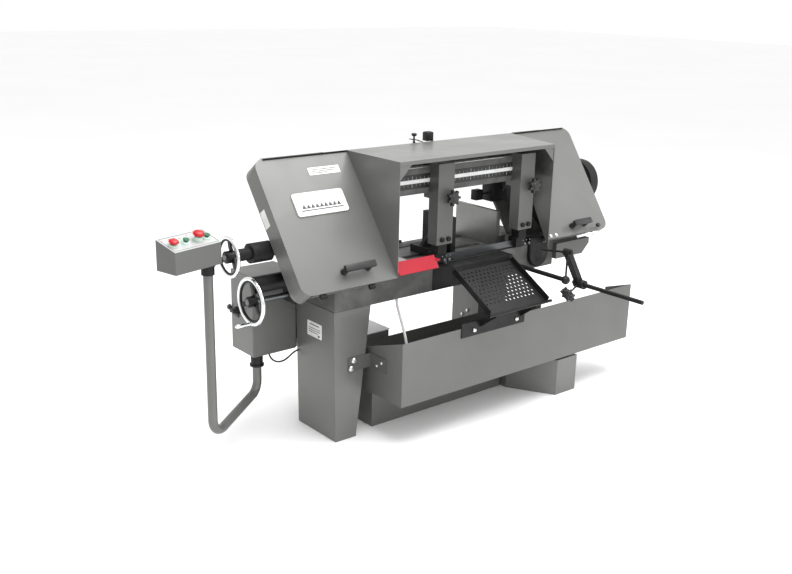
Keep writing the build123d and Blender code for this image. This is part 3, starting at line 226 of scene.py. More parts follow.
GREY = (0.128, 0.13, 0.124)
machine_grey = enamel("machine_grey_enamel", GREY, 0.4, 0.25, 0.12)
box_grey = enamel("control_box_enamel", (0.1, 0.102, 0.098), 0.42, 0.2, 0.1)
# The bed's grey is the machine's grey paint made darker: painted shade for the bed under the guard's
# overhang; the head frame and head beam share this darker grey.
bed_grey_painted_shade = casting("bed_enamel_painted_shade", (0.092, 0.093, 0.09), 0.5, 0.1, 90.0, 0.0003)
arm_grey = enamel("arm_enamel", (0.088, 0.089, 0.085), 0.42, 0.2, 0.1)
side_grey = enamel("tray_enamel", (0.108, 0.109, 0.104), 0.42, 0.2, 0.1)
bed_top_steel = ground_flat("bed_ground_top", (0.42, 0.42, 0.41))
lid_grey = enamel("tank_lid_enamel", (0.86, 0.87, 0.86), 0.4)
guard_red = enamel("guard_red_enamel", (0.36, 0.0, 0.014), 0.6)
black_enamel = casting("black_enamel", (0.007, 0.0075, 0.007), 0.42, 0.0, 240.0, 0.0002)
black_iron = casting("black_cast_iron", (0.008, 0.0085, 0.008), 0.55, 0.0, 120.0)
black_plastic = moulded("black_moulding", (0.011, 0.011, 0.011), 0.38)
black_rubber = moulded("cable_rubber", (0.014, 0.014, 0.014), 0.6, 1500.0)
bright_steel = machined("bright_steel", (0.62, 0.62, 0.61), 0.3, (60.0, 700.0, 700.0))
dark_steel = machined("oiled_steel", (0.16, 0.165, 0.17), 0.34, (40.0, 500.0, 500.0))
blade_steel = machined("blade_steel", (0.12, 0.125, 0.13), 0.4, (30.0, 900.0, 900.0))
jaw_steel = ground_flat("jaw_ground_face", (0.26, 0.26, 0.25))
wheel_iron = casting("wheel_cast_iron", (0.11, 0.11, 0.11), 0.5, 0.4)
chrome_plate = chrome("chrome_plate")
panel_silver = enamel("panel_silver", (0.44, 0.455, 0.45), 0.36, 0.2, 0.0, 0.00003)
scale_white = moulded("scale_face", (0.7, 0.71, 0.7), 0.35, 700.0)
rule_grey = moulded("rule_graduations", (0.4, 0.4, 0.39), 0.4, 700.0)
label_white = moulded("label_white", (0.66, 0.66, 0.65), 0.4, 500.0)
label_ink = moulded("label_ink", (0.05, 0.05, 0.05), 0.45)
label_red = moulded("label_red", (0.6, 0.03, 0.06), 0.4)
button_red = moulded("button_red", (0.4, 0.0, 0.006), 0.36, 700.0)
button_green = moulded("button_green", (0.002, 0.11, 0.04), 0.36, 700.0)
button_clear = moulded("bezel_clear", (0.45, 0.6, 0.52), 0.22, 700.0, 0.5)


def make_hose_finish():
    made = Finish("hose_translucent", (0.86, 0.87, 0.85), 0.34, 0.0, 0.2)
    made.shader.inputs["Subsurface Weight"].default_value = 0.35
    made.shader.inputs["Subsurface Scale"].default_value = 0.01
    made.tint(60.0, (0.8, 0.81, 0.79), (0.92, 0.93, 0.91))
    return made.bump(500.0, 0.00008, 0.2).material


hose_white = make_hose_finish()

NODE_FINISH = {
    machine_grey: ["left_pedestal", "right_pedestal", "electrical_box", "blade_guard", "control_pipe"],
    arm_grey: ["left_guide_arm", "right_guide_arm", "pivot_bracket", "tray_bracket"],
    side_grey: ["coolant_tank", "chip_tray", "electrical_cover"],
    box_grey: ["control_box"],
    bed_grey_painted_shade: ["bed", "head_frame", "head_beam"],
    lid_grey: ["tank_cover"],
    guard_red: ["front_blade_guard"],
    black_enamel: ["apron_table", "discharge_chute", "chute_bracket", "stop_bar", "stop_arm", "stop_rod",
                   "lower_collar", "upper_collar", "vise_cylinder", "guard_handles"],
    black_iron: ["vise_left_jaw", "gearbox", "motor", "idler_carriage", "left_guide_block",
                 "right_guide_block", "tension_housing"],
    jaw_steel: ["vise_right_jaw"],
    black_plastic: ["stop_knob", "left_arm_knob", "right_arm_knob", "switch_knob"],
    bright_steel: ["base_bolts", "pivot_pin", "guard_latch"],
    dark_steel: ["vise_screw", "guard_hinge_pin"],
    chrome_plate: ["vise_handwheel", "tension_handwheel", "crank_handle"],
    button_clear: ["button_bezels"],
    wheel_iron: ["idler_wheel", "drive_wheel"],
    blade_steel: ["blade"],
    panel_silver: ["control_plate"],
    scale_white: ["scale_strip"],
    button_red: ["stop_button", "emergency_stop"],
    button_green: ["start_button", "feed_button"],
    hose_white: ["coolant_hose"],
    black_rubber: ["box_cable"],
}


def dress_nodes():
    """The CAD nodes' finishes, and their folded or cast edges softened."""
    edge = {"chip_tray": 1.2, "blade_guard": 0.7, "left_pedestal": 2.5, "right_pedestal": 2.0,
            "bed": 2.5, "apron_table": 3.0, "electrical_box": 2.0, "electrical_cover": 1.2,
            "control_box": 1.2, "left_guide_arm": 1.5, "right_guide_arm": 1.5, "pivot_bracket": 2.0,
            "vise_left_jaw": 1.2, "vise_right_jaw": 1.2, "coolant_tank": 2.0, "head_beam": 1.5,
            "motor": 4.0, "gearbox": 4.0, "tank_cover": 1.5, "chute_bracket": 0.8,
            "front_blade_guard": 0.8, "control_plate": 0.5, "stop_arm": 0.8}
    for finish, names in NODE_FINISH.items():
        for name in names:
            obj = nodes[name]
            if not obj.data.materials:
                obj.data.materials.append(finish)
            for holder in obj.material_slots:
                holder.material = finish
    for name, width in edge.items():
        weld = nodes[name].modifiers.new("weld", "WELD")
        weld.merge_threshold = 0.00002
        soften = nodes[name].modifiers.new("soften", "BEVEL")
        soften.width = width * MM
        soften.segments = 2
        soften.limit_method = "ANGLE"
        soften.angle_limit = math.radians(40.0)


dress_nodes()


# ---------------------------------------------------------------------------
# Cords
# ---------------------------------------------------------------------------
HOSE = ((330, 60, 514), (330, 60, 484), (333, 52, 452), (337, 42, 420), (340, 30, 388),
        (342, 18, 356), (343, 9, 324), (343, 4, 292), (343, 3, 262))
CABLE = ((-100, 300, 308), (-100, 300, 285), (-93, 293, 266), (-80, 284, 255), (-64, 274, 254),
         (-49, 264, 262), (-38, 256, 274), (-28, 250, 286), (-16, 243.5, 297), (-3, 237.5, 303))


def make_cord(name, points, diameter, finish, node):
    data = bpy.data.curves.new(name, "CURVE")
    data.dimensions = "3D"
    data.bevel_depth = diameter * MM / 2
    data.bevel_resolution = 6
    data.resolution_u = 8
    data.use_fill_caps = True
    line = data.splines.new("NURBS")
    line.points.add(len(points) - 1)
    for point, place in zip(line.points, points):
        point.co = (*spot(*place), 1.0)
    line.order_u = 3
    line.use_endpoint_u = True
    piece = bpy.data.objects.new(name, data)
    bpy.context.scene.collection.objects.link(piece)
    data.materials.append(finish)
    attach(piece, "base")
    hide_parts(node)
    return piece


make_cord("drain_hose", HOSE, 11.0, hose_white, "coolant_hose")
make_cord("cover_cable", CABLE, 7.0, black_rubber, "box_cable")


# ---------------------------------------------------------------------------
# Ways of making a piece
# ---------------------------------------------------------------------------
def clear():
    bpy.ops.object.select_all(action="DESELECT")


def take(name):
    """The primitive just added, named, with its place moved into its mesh."""
    obj = bpy.context.object
    obj.name = name
    bpy.ops.object.transform_apply(location=True, rotation=True, scale=True)
    return obj


def add_box(name, centre, size, turn=(0.0, 0.0, 0.0)):
    clear()
    bpy.ops.mesh.primitive_cube_add(size=1.0, location=centre, rotation=turn,
                                    scale=tuple(part * MM for part in size))
    return take(name)


def add_ring(name, centre, diameter, section, turn=(0.0, 0.0, 0.0), sides=64):
    clear()
    bpy.ops.mesh.primitive_torus_add(major_radius=diameter * MM / 2, minor_radius=section * MM / 2,
                                     major_segments=sides, minor_segments=16, location=centre,
                                     rotation=turn)
    return take(name)


def use(obj):
    clear()
    obj.select_set(True)
    bpy.context.view_layer.objects.active = obj


def settle(obj, matrix):
    """Puts a piece at a place and moves that place into its mesh."""
    obj.matrix_world = matrix
    use(obj)
    bpy.ops.object.transform_apply(location=True, rotation=True, scale=True)
    return obj


def bevel(obj, width, segments=2, angle=30.0):
    use(obj)
    modifier = obj.modifiers.new("round", "BEVEL")
    modifier.width = width * MM
    modifier.segments = segments
    modifier.limit_method = "ANGLE"
    modifier.angle_limit = math.radians(angle)
    bpy.ops.object.modifier_apply(modifier=modifier.name)
    return obj


def pick_faces(obj, test):
    """Leaves edit mode on with only the faces that pass the test selected."""
    use(obj)
    bpy.ops.object.mode_set(mode="EDIT")
    bpy.ops.mesh.select_mode(type="FACE")
    bpy.ops.mesh.select_all(action="DESELECT")
    bpy.ops.object.mode_set(mode="OBJECT")
    for face in obj.data.polygons:
        face.select = bool(test(face))
    bpy.ops.object.mode_set(mode="EDIT")


def inset_faces(obj, test, thickness, depth):
    pick_faces(obj, test)
    bpy.ops.mesh.inset(thickness=thickness * MM, depth=depth * MM)
    bpy.ops.object.mode_set(mode="OBJECT")
    return obj


def facing(direction, near=0.95):
    way = Vector(direction).normalized()
    return lambda face: face.normal.dot(way) > near


def join(name, *parts):
    clear()
    for part in parts:
        part.select_set(True)
    bpy.context.view_layer.objects.active = parts[0]
    if len(parts) > 1:
        bpy.ops.object.join()
    parts[0].name = name
    return parts[0]


def paint(obj, finish):
    obj.data.materials.clear()
    obj.data.materials.append(finish)
    return obj


def fit(obj, body, finish=None, stands_for=()):
    """The last step of every piece: smooth, painted, and on its body."""
    if finish:
        paint(obj, finish)
    use(obj)
    bpy.ops.object.shade_smooth_by_angle(angle=math.radians(35.0))
    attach(obj, body)
    if stands_for:
        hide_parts(*stands_for)
    return obj


ALONG_X = (0.0, math.pi / 2, 0.0)


# ---------------------------------------------------------------------------
# Turned and drawn shapes
# ---------------------------------------------------------------------------
def turned(name, profile, sides=48):
    """A shape turned on the Z axis from (height, diameter) pairs, like a lathe."""
    clear()
    height, width = profile[0]
    bpy.ops.mesh.primitive_circle_add(vertices=sides, radius=width * MM / 2, fill_type="NGON",
                                      location=(0.0, 0.0, height * MM))
    obj = take(name)
    bpy.ops.object.mode_set(mode="EDIT")
    bpy.ops.mesh.select_all(action="SELECT")
    for next_height, next_width in profile[1:]:
        rise = (next_height - height) * MM
        bpy.ops.mesh.extrude_region_move(TRANSFORM_OT_translate={"value": (0.0, 0.0, rise)})
        grow = next_width / width
        bpy.ops.transform.resize(value=(grow, grow, 1.0), center_override=(0.0, 0.0, next_height * MM))
        height, width = next_height, next_width
    bpy.ops.mesh.select_all(action="SELECT")
    bpy.ops.mesh.remove_doubles(threshold=0.000001)
    bpy.ops.mesh.normals_make_consistent(inside=False)
    bpy.ops.object.mode_set(mode="OBJECT")
    return obj


def stand(obj, place, direction):
    """Moves a piece built on the Z axis to its place, along a direction."""
    turn = Vector(direction).to_track_quat("Z", "Y").to_matrix().to_4x4()
    return settle(obj, Matrix.Translation(place) @ turn)


def bar(name, path, size, up=(0.0, 0.0, 1.0)):
    """A rectangular bar drawn along a path by extruding its end; size may change on the way."""
    clear()
    bpy.ops.mesh.primitive_plane_add(size=1.0)
    obj = bpy.context.object
    first = (Vector(path[1]) - Vector(path[0])).normalized()
    side = Vector(up).cross(first).normalized()
    rise = first.cross(side)
    turn = Matrix((side, rise, first)).transposed().to_4x4()
    shape = Matrix.Diagonal((size[0][0] * MM, size[0][1] * MM, 1.0, 1.0))
    obj.matrix_world = Matrix.Translation(path[0]) @ turn @ shape
    take(name)
    bpy.ops.object.mode_set(mode="EDIT")
    bpy.ops.mesh.select_all(action="SELECT")
    for before, after, old, new in zip(path, path[1:], size, size[1:]):
        bpy.ops.mesh.extrude_region_move(
            TRANSFORM_OT_translate={"value": tuple(Vector(after) - Vector(before))})
        grow = new[0] / old[0]
        bpy.ops.transform.resize(value=(grow, grow, grow), center_override=tuple(after))
    bpy.ops.mesh.select_all(action="SELECT")
    bpy.ops.mesh.normals_make_consistent(inside=False)
    bpy.ops.object.mode_set(mode="OBJECT")
    return obj


UPSLOPE = Vector((0.0, 0.6, 0.8))
OUTWARD = Vector((0.0, -0.8, 0.6))
FRONT = Vector((0.0, -1.0, 0.0))
LEFT = Vector((-1.0, 0.0, 0.0))
RIGHT = Vector((1.0, 0.0, 0.0))
UP = Vector((0.0, 0.0, 1.0))


def socket_bolt(name, place, direction, width, height, domed=False):
    """A cap screw with its hexagon socket, or a button head."""
    edge = width * (0.55 if domed else 0.86)
    crown = height * (0.45 if domed else 0.85)
    head = turned(name, ((-0.6, width), (crown, width), (height, edge)), 36)
    inset_faces(head, lambda face: face.normal.z > 0.99 and face.center.z > height * 0.9 * MM,
                width * 0.12, 0.0)
    bevel(head, width * 0.03, 2, 25.0)
    # The socket is a black hexagon standing a little proud of the head, not a hole: painted shade for the
    # recess.
    socket = turned(name + "_socket", ((height - 0.2, width * 0.4), (height + 0.15, width * 0.4)), 6)
    paint(socket, black_iron)
    both = join(name, head, socket)
    return stand(both, place, direction)


def bolts(name, places, direction, width, height, finish, body, domed=False, stands_for=()):
    """A row of equal bolts as one piece."""
    heads = []
    for number, place in enumerate(places):
        heads.append(socket_bolt(f"{name}_{number}", place, direction, width, height, domed))
    for head in heads:
        head.data.materials.clear()
        head.data.materials.append(finish)
        # The second slot is black: the sockets' painted shade.
        head.data.materials.append(black_iron)
    whole = join(name, *heads)
    return fit(whole, body, None, stands_for)


# ---------------------------------------------------------------------------
# Plates and labels
# ---------------------------------------------------------------------------
def flat_plate(name, middle_place, across, upward, size, finish, body, corner=3.0):
    """A thin plate with round corners lying on a face; across and upward are its edges' ways."""
    clear()
    bpy.ops.mesh.primitive_cube_add(size=1.0)
    obj = bpy.context.object
    across = Vector(across).normalized()
    upward = Vector(upward).normalized()
    turn = Matrix((across, upward, across.cross(upward))).transposed().to_4x4()
    shape = Matrix.Diagonal((size[0] * MM, size[1] * MM, size[2] * MM, 1.0))
    obj.matrix_world = shape
    take(name)
    use(obj)
    bpy.ops.object.mode_set(mode="EDIT")
    bpy.ops.mesh.select_mode(type="EDGE")
    bpy.ops.mesh.select_all(action="DESELECT")
    bpy.ops.object.mode_set(mode="OBJECT")
    for edge in obj.data.edges:
        ends = [obj.data.vertices[index].co for index in edge.vertices]
        edge.select = abs(ends[0].z - ends[1].z) > size[2] * MM * 0.5
    bpy.ops.object.mode_set(mode="EDIT")
    bpy.ops.mesh.bevel(offset=corner * MM, segments=5)
    bpy.ops.object.mode_set(mode="OBJECT")
    inset_faces(obj, lambda face: face.normal.z > 0.99, min(size[0], size[1]) * 0.02 + 0.2, 0.0)
    settle(obj, Matrix.Translation(middle_place) @ turn)
    return fit(obj, body, finish)


def printed_label(name, place, across, upward, size, lines, body, base=None, ink=None):
    """A plate with a few printed bars in place of words; each line is (x, y, length, height)."""
    way = Vector(across).normalized()
    rise = Vector(upward).normalized()
    out = way.cross(rise)
    flat_plate(name, place + out * 0.4 * MM, across, upward, (size[0], size[1], 1.2),
               base or label_white, body, min(size) * 0.06)
    bars = []
    for number, (x, y, length, height) in enumerate(lines):
        centre = place + way * x * MM + rise * y * MM + out * 1.05 * MM
        bars.append(flat_plate(f"{name}_bar_{number}", centre, across, upward, (length, height, 0.4),
                               ink or label_ink, body, height * 0.2))
    whole = join(name + "_print", *bars)
    return fit(whole, body, ink or label_ink)


def make_badge():
    """A pale raised plate with a plain row of saw teeth on a thin line."""
    place = leaning(21.0, 336.0, 2.0)
    flat_plate("badge_plate", place, RIGHT, UPSLOPE, (222.0, 90.0, 7.0), label_white, "cover",
               11.0)
    flat_plate("badge_line", place - UPSLOPE * 25.0 * MM + OUTWARD * 3.6 * MM, RIGHT, UPSLOPE,
               (182.0, 4.0, 0.8), label_ink, "cover", 1.0)
    teeth = []
    for number in range(9):
        clear()
        bpy.ops.mesh.primitive_cylinder_add(vertices=3, radius=11.0 * MM, depth=0.8 * MM)
        tooth = take(f"badge_tooth_{number}")
        bpy.ops.object.mode_set(mode="EDIT")
        bpy.ops.mesh.select_all(action="SELECT")
        bpy.ops.mesh.bevel(offset=0.8 * MM, segments=1)
        bpy.ops.object.mode_set(mode="OBJECT")
        shift = (number - 4) * 19.0
        middle_of_tooth = place + RIGHT * shift * MM - UPSLOPE * 12.0 * MM + OUTWARD * 3.6 * MM
        turn = Matrix((RIGHT, UPSLOPE, OUTWARD)).transposed().to_4x4()
        teeth.append(settle(tooth, Matrix.Translation(middle_of_tooth) @ turn))
    fit(join("badge_teeth", *teeth), "cover", label_ink)


def make_labels():
    rows = ((0.0, 6.0, 108.0, 3.0), (0.0, -1.0, 108.0, 3.0), (-20.0, -8.0, 66.0, 3.0))
    printed_label("cover_label", leaning(92.0, 462.0, 0.0), RIGHT, UPSLOPE, (138.0, 30.0), rows, "cover")
    rows = ((-12.0, 0.0, 2.5, 44.0), (-2.0, 0.0, 2.5, 44.0), (8.0, -6.0, 2.5, 32.0))
    printed_label("rim_label", leaning(-187.0, 325.0, -57.0), -OUTWARD, UPSLOPE, (34.0, 66.0), rows, "cover")
    rows = ((0.0, 18.0, 60.0, 4.0), (0.0, 4.0, 76.0, 2.5), (0.0, -4.0, 76.0, 2.5), (-8.0, -12.0, 60.0, 2.5),
            (28.0, -20.0, 12.0, 8.0))
    printed_label("pedestal_plate", spot(-7.4, 126.0, 415.0), -Vector((0.0, 1.0, 0.0)), UP,
                  (92.0, 58.0), rows, "base")


make_badge()
make_labels()


# ---------------------------------------------------------------------------
# Handles, wheels and knobs
# ---------------------------------------------------------------------------
def make_cover_handles():
    """Two bridge handles: a rounded grip on two round feet."""
    grips = []
    for x, s, length in ((60.0, 62.0, 132.0), (1262.0, 66.0, 104.0)):
        grip = add_box("handle", (0.0, 0.0, 0.0), (length, 24.0, 15.0))
        pick_faces(grip, lambda face: abs(face.normal.x) > 0.9)
        bpy.ops.mesh.inset(thickness=2.0 * MM, depth=2.0 * MM)
        bpy.ops.object.mode_set(mode="OBJECT")
        bevel(grip, 6.0, 4, 40.0)
        parts = [grip]
        for end in (-1, 1):
            foot = turned("handle_foot", ((-38.0, 27.0), (-34.0, 25.0), (-8.0, 22.0), (2.0, 22.0)), 32)
            inward = Matrix.Translation((end * (length / 2 - 13.0) * MM, 0.0, 0.0))
            parts.append(settle(foot, inward))
        whole = join("handle", *parts)
        turn = Matrix((RIGHT, UPSLOPE, OUTWARD)).transposed().to_4x4()
        grips.append(settle(whole, Matrix.Translation(leaning(x, s, HANDLE_RISE)) @ turn))
    fit(join("cover_handles", *grips), "cover", black_plastic, ("guard_handles",))


def make_handwheel(name, place, width, rim, hub):
    """Chromed rim with curved black spokes that dish towards a long hub."""
    ring = add_ring(name + "_rim", place, width - rim, rim * 1.12, ALONG_X, 72)
    paint(ring, chrome_plate)
    inner = add_ring(name + "_felloe", place, width - rim * 2.5, rim * 0.8, ALONG_X, 64)
    paint(inner, black_enamel)
    parts = [ring, inner]
    reach = width / 2 - rim * 0.6
    for number in range(3):
        angle = math.radians(number * 120.0 + 90.0)
        path = []
        size = []
        for step in range(6):
            share = step / 5
            bend = angle + 0.5 * share * (1.0 - share)
            radius = hub * 0.35 + (reach - hub * 0.35) * share
            dish = 14.0 * (1.0 - share) ** 2
            path.append(place + Vector((dish, radius * math.cos(bend), radius * math.sin(bend))) * MM)
            size.append((hub * 0.62 * (1.0 - 0.42 * share), 9.0 - 2.5 * share))
        spoke = bar(f"{name}_spoke_{number}", path, size, up=(1.0, 0.0, 0.0))
        bevel(spoke, 2.2, 3, 40.0)
        parts.append(paint(spoke, black_enamel))
    boss = turned(name + "_boss", ((-16.0, hub * 0.72), (-13.0, hub), (6.0, hub), (16.0, hub * 1.1),
                                   (18.0, hub * 0.9)), 40)
    bevel(boss, 1.2, 2, 25.0)
    stand(boss, place, RIGHT)
    parts.append(paint(boss, black_enamel))
    cap = turned(name + "_cap", ((0.0, hub * 0.42), (1.2, hub * 0.4), (1.8, hub * 0.2)), 32)
    stand(cap, place - RIGHT * 16.0 * MM, LEFT)
    parts.append(paint(cap, dark_steel))
    return join(name, *parts)


def make_wheels():
    place = spot(-269.0, 140.0, 570.0)
    vise = make_handwheel("vise_wheel", place, 176.0, 13.0, 40.0)
    stud = turned("crank_stud", ((0.0, 12.0), (6.0, 12.0), (8.0, 8.0), (64.0, 8.0), (65.0, 6.0)), 24)
    stand(stud, spot(-270.0, 140.0, CRANK_Z), LEFT)
    paint(stud, chrome_plate)
    fit(join("vise_wheel", vise, stud), "vise_spindle", None, ("vise_handwheel",))
    place = spot(-338.0, 168.8, 737.4)
    tension = make_handwheel("tension_wheel", place, 148.0, 11.0, 44.0)
    shaft = turned("tension_shaft", ((0.0, 32.0), (27.0, 32.0), (28.0, 18.0), (445.0, 18.0)), 32)
    stand(shaft, place, RIGHT)
    bevel(shaft, 0.6, 1, 40.0)
    paint(shaft, dark_steel)
    fit(join("tension_wheel", tension, shaft), "tension_spindle", None,
        ("tension_handwheel",))


def make_crank_grip():
    """A turned revolving handle with a swelling near its end."""
    profile = ((0.0, 11.0), (1.5, 13.0), (10.0, 12.0), (26.0, 13.6), (42.0, 16.0), (50.0, 15.4),
               (56.0, 11.0), (57.6, 8.6))
    grip = turned("crank_grip", profile, 40)
    stand(grip, spot(-275.8, 140.0, CRANK_Z), LEFT)
    fit(grip, "crank", chrome_plate, ("crank_handle",))


def star_grip(name, width, thick, lobes=7):
    """A star knob on the Z axis: a drum with every other side drawn out and rounded."""
    clear()
    bpy.ops.mesh.primitive_cylinder_add(vertices=lobes * 2, radius=width * 0.34 * MM, depth=thick * MM,
                                        location=(0.0, 0.0, thick / 2 * MM))
    grip = take(name)
    sides = [face.index for face in grip.data.polygons if abs(face.normal.z) < 0.5]
    sides.sort(key=lambda index: math.atan2(grip.data.polygons[index].center.y,
                                            grip.data.polygons[index].center.x))
    chosen = set(sides[::2])
    pick_faces(grip, lambda face: face.index in chosen)
    bpy.ops.mesh.inset(thickness=0.8 * MM, depth=width * 0.16 * MM, use_individual=True)
    bpy.ops.object.mode_set(mode="OBJECT")
    bevel(grip, width * 0.05, 3, 30.0)
    crown = turned(name + "_crown", ((thick - 0.5, width * 0.42), (thick + 3.0, width * 0.36),
                                     (thick + 3.4, width * 0.2)), 32)
    return join(name, grip, crown)


def make_knobs():
    for side, x in (("left", 506.0), ("right", 949.0)):
        grip = star_grip(f"{side}_knob", 64.0, 18.0)
        stem = turned(f"{side}_stem", ((-48.0, 10.0), (-6.0, 10.0), (-5.0, 22.0), (1.0, 24.0)), 24)
        whole = join(f"{side}_arm_grip", grip, stem)
        stand(whole, spot(x, -44.0, 887.0), FRONT)
        fit(whole, f"{side}_clamp", black_plastic, (f"{side}_arm_knob",))
    turn = math.radians(28.0)
    away = Vector((-math.cos(turn), 0.0, -math.sin(turn)))
    hub = spot(928.0, -340.0, 548.0)
    grip = star_grip("stop_grip", 64.0, 20.0)
    stem = turned("stop_stem", ((-53.0, 8.0), (-8.0, 8.0), (-7.0, 20.0), (1.0, 24.0)), 24)
    whole = join("stop_star_grip", grip, stem)
    stand(whole, hub + away * 62.0 * MM, away)
    fit(whole, "stop_clamp", black_plastic, ("stop_knob",))


make_cover_handles()
make_wheels()
make_crank_grip()
make_knobs()


# ---------------------------------------------------------------------------
# Head: rule, bolts, guides, hinge strips and latch
# ---------------------------------------------------------------------------
def make_rule():
    """Two dark bands on the beam with a pale graduation every 20 mm."""
    bands = []
    ticks = []
    for z in (968.5, 933.0):
        band = add_box(f"rule_band_{z}", spot(632.0, 21.9, z), (772.0, 0.3, 19.0))
        inset_faces(band, facing(FRONT), 0.6, 0.0)
        bands.append(band)
        side = 1.0 if z > 950.0 else -1.0
        for number in range(38):
            height = 13.0 if number % 5 == 0 else 8.0
            x = 262.0 + number * 20.0
            place = spot(x, 21.78, z - side * (9.0 - height / 2))
            ticks.append(add_box("tick", place, (1.2 if number % 5 else 2.0, 0.12, height)))
    fit(join("rule_bands", *bands), "head", black_plastic)
    fit(join("rule_ticks", *ticks), "head", rule_grey)
    way = turned("beam_way", ((-380.0, 9.0), (-379.0, 11.0), (379.0, 11.0), (380.0, 9.0)), 24)
    stand(way, spot(632.0, 29.0, 1000.5), RIGHT)
    fit(way, "head", bright_steel)


def make_hinge_strips():
    """Black piano hinge leaves along the covers' top back edges."""
    for name, x0, x1 in (("left_hinge_strip", -146.0, 226.0), ("right_hinge_strip", 1114.0, 1436.0)):
        middle_x = (x0 + x1) / 2
        strip = add_box(name, leaning(middle_x, 527.0, 0.6), (x1 - x0, 14.0, 2.6), (math.pi - LEAN, 0, 0))
        bevel(strip, 0.6, 2)
        fit(strip, "cover", black_enamel)


def make_arm_details():
    for side, x in (("left", 488.0), ("right", 931.0)):
        places = [spot(x - 14.0, -30.0, 724.0), spot(x + 19.0, -30.0, 724.0)]
        bolts(f"{side}_arm_bolts", places, FRONT, 19.0, 9.0, black_iron, f"{side}_guide")
        parts = []
        for offset, z, width in ((-12.0, 648.0, 10.0), (12.0, 648.0, 10.0)):
            roller = turned("roller", ((0.0, width), (1.0, width + 1.5), (7.0, width + 1.5), (8.0, width),
                                       (8.0, 6.0), (9.5, 5.0)), 32)
            stand(roller, spot(x + offset, BLOCK_FACE_Y, z), FRONT)
            parts.append(roller)
        rollers = join(f"{side}_rollers", *parts)
        fit(rollers, f"{side}_guide", dark_steel)
        screws = ((-20.0, 662.0), (0.0, 634.0), (20.0, 662.0), (0.0, 662.0))
        places = [spot(x + offset, BLOCK_FACE_Y, z) for offset, z in screws]
        bolts(f"{side}_block_screws", places, FRONT, 6.0, 2.0, dark_steel, f"{side}_guide")


def make_cover_bolts():
    places = [leaning(1078.0, 41.0, 0.0), leaning(1112.0, 41.0, 0.0)]
    bolts("cover_bolts", places, OUTWARD, 17.0, 6.0, bright_steel, "cover", True)
    parts = []
    for x in (-103.0, 111.0):
        catch = add_box("catch", leaning(x, -8.0, -12.0), (26.0, 18.0, 12.0), (LEAN, 0.0, 0.0))
        bevel(catch, 2.5, 3)
        parts.append(catch)
    fit(join("cover_catches", *parts), "head", black_enamel)


def make_latch():
    """Chromed toggle under the right cover with its black knob."""
    strap = bar("latch_strap", [leaning(1235.0, 18.0, -7.0), leaning(1290.0, 19.0, -7.0),
                                leaning(1330.0, 21.0, -6.0), leaning(1384.0, 22.0, -6.0)],
                [(12.0, 5.0), (10.0, 4.5), (15.0, 6.0), (13.0, 5.5)], up=tuple(OUTWARD))
    bevel(strap, 1.5, 2)
    paint(strap, chrome_plate)
    pin = turned("latch_pin", ((-14.0, 9.0), (4.0, 9.0), (5.5, 12.0), (10.0, 12.0), (11.0, 9.0)), 28)
    stand(pin, leaning(1366.0, 42.0, 0.0), OUTWARD)
    paint(pin, chrome_plate)
    ball = turned("latch_ball", ((10.0, 10.0), (12.0, 17.0), (17.0, 21.0), (23.0, 20.0), (27.0, 14.0)), 32)
    stand(ball, leaning(1366.0, 42.0, 0.0), OUTWARD)
    paint(ball, black_plastic)
    tongue = add_box("latch_tongue", leaning(1353.0, 42.0, -14.0), (42.0, 12.0, 4.0), (LEAN, 0.0, 0.0))
    bevel(tongue, 1.0, 2)
    paint(tongue, bright_steel)
    fit(join("latch_knob", pin, ball, tongue), "latch", None, ("guard_latch",))
    fit(strap, "cover")


def make_roof_fittings():
    """Adjusting knob on its post, its spring leaf and a small switch behind the roof."""
    post = turned("roof_post", ((0.0, 12.0), (4.0, 12.0), (5.0, 7.0), (26.0, 7.0), (27.0, 13.0),
                                (29.0, 21.0), (35.0, 22.0), (38.0, 17.0)), 32)
    stand(post, spot(576.0, 268.0, 1048.0), UP)
    leaf = bar("roof_leaf", [spot(560.0, 268.0, 1063.0), spot(585.0, 268.0, 1060.0),
                             spot(612.0, 266.0, 1050.0)], [(26.0, 3.0), (24.0, 3.0), (26.0, 3.0)])
    bevel(leaf, 0.8, 2)
    block = add_box("roof_switch", spot(650.0, 268.0, 1068.0), (34.0, 30.0, 34.0))
    inset_faces(block, facing(UP), 4.0, 3.0)
    bevel(block, 2.0, 2)
    whole = join("roof_fittings", post, leaf, block)
    fit(whole, "cover", black_enamel)


def make_feed_valve():
    """Dark valve body, rods and limit switch on the head, seen behind the right arm."""
    body = add_box("valve_body", spot(1010.0, 232.0, 818.0), (90.0, 62.0, 92.0))
    inset_faces(body, facing(FRONT), 8.0, 4.0)
    bevel(body, 3.0, 2)
    parts = [body]
    for x, z in ((984.0, 782.0), (1012.0, 782.0)):
        column = turned("valve_column", ((0.0, 22.0), (6.0, 26.0), (40.0, 26.0), (42.0, 16.0),
                                         (76.0, 16.0)), 28)
        stand(column, spot(x, 222.0, z + 70.0), UP)
        parts.append(column)
    switch = add_box("limit_switch", spot(906.0, 232.0, 806.0), (40.0, 34.0, 44.0))
    inset_faces(switch, facing(FRONT), 5.0, 2.0)
    bevel(switch, 2.5, 2)
    arm = turned("switch_arm", ((0.0, 9.0), (40.0, 9.0)), 20)
    bevel(arm, 1.0, 2)
    stand(arm, spot(925.0, 232.0, 806.0), RIGHT)
    whole = join("feed_valve", *parts, switch, arm)
    fit(whole, "head", black_iron)


make_rule()
make_hinge_strips()
make_arm_details()
make_cover_bolts()
make_latch()
make_roof_fittings()
make_feed_valve()
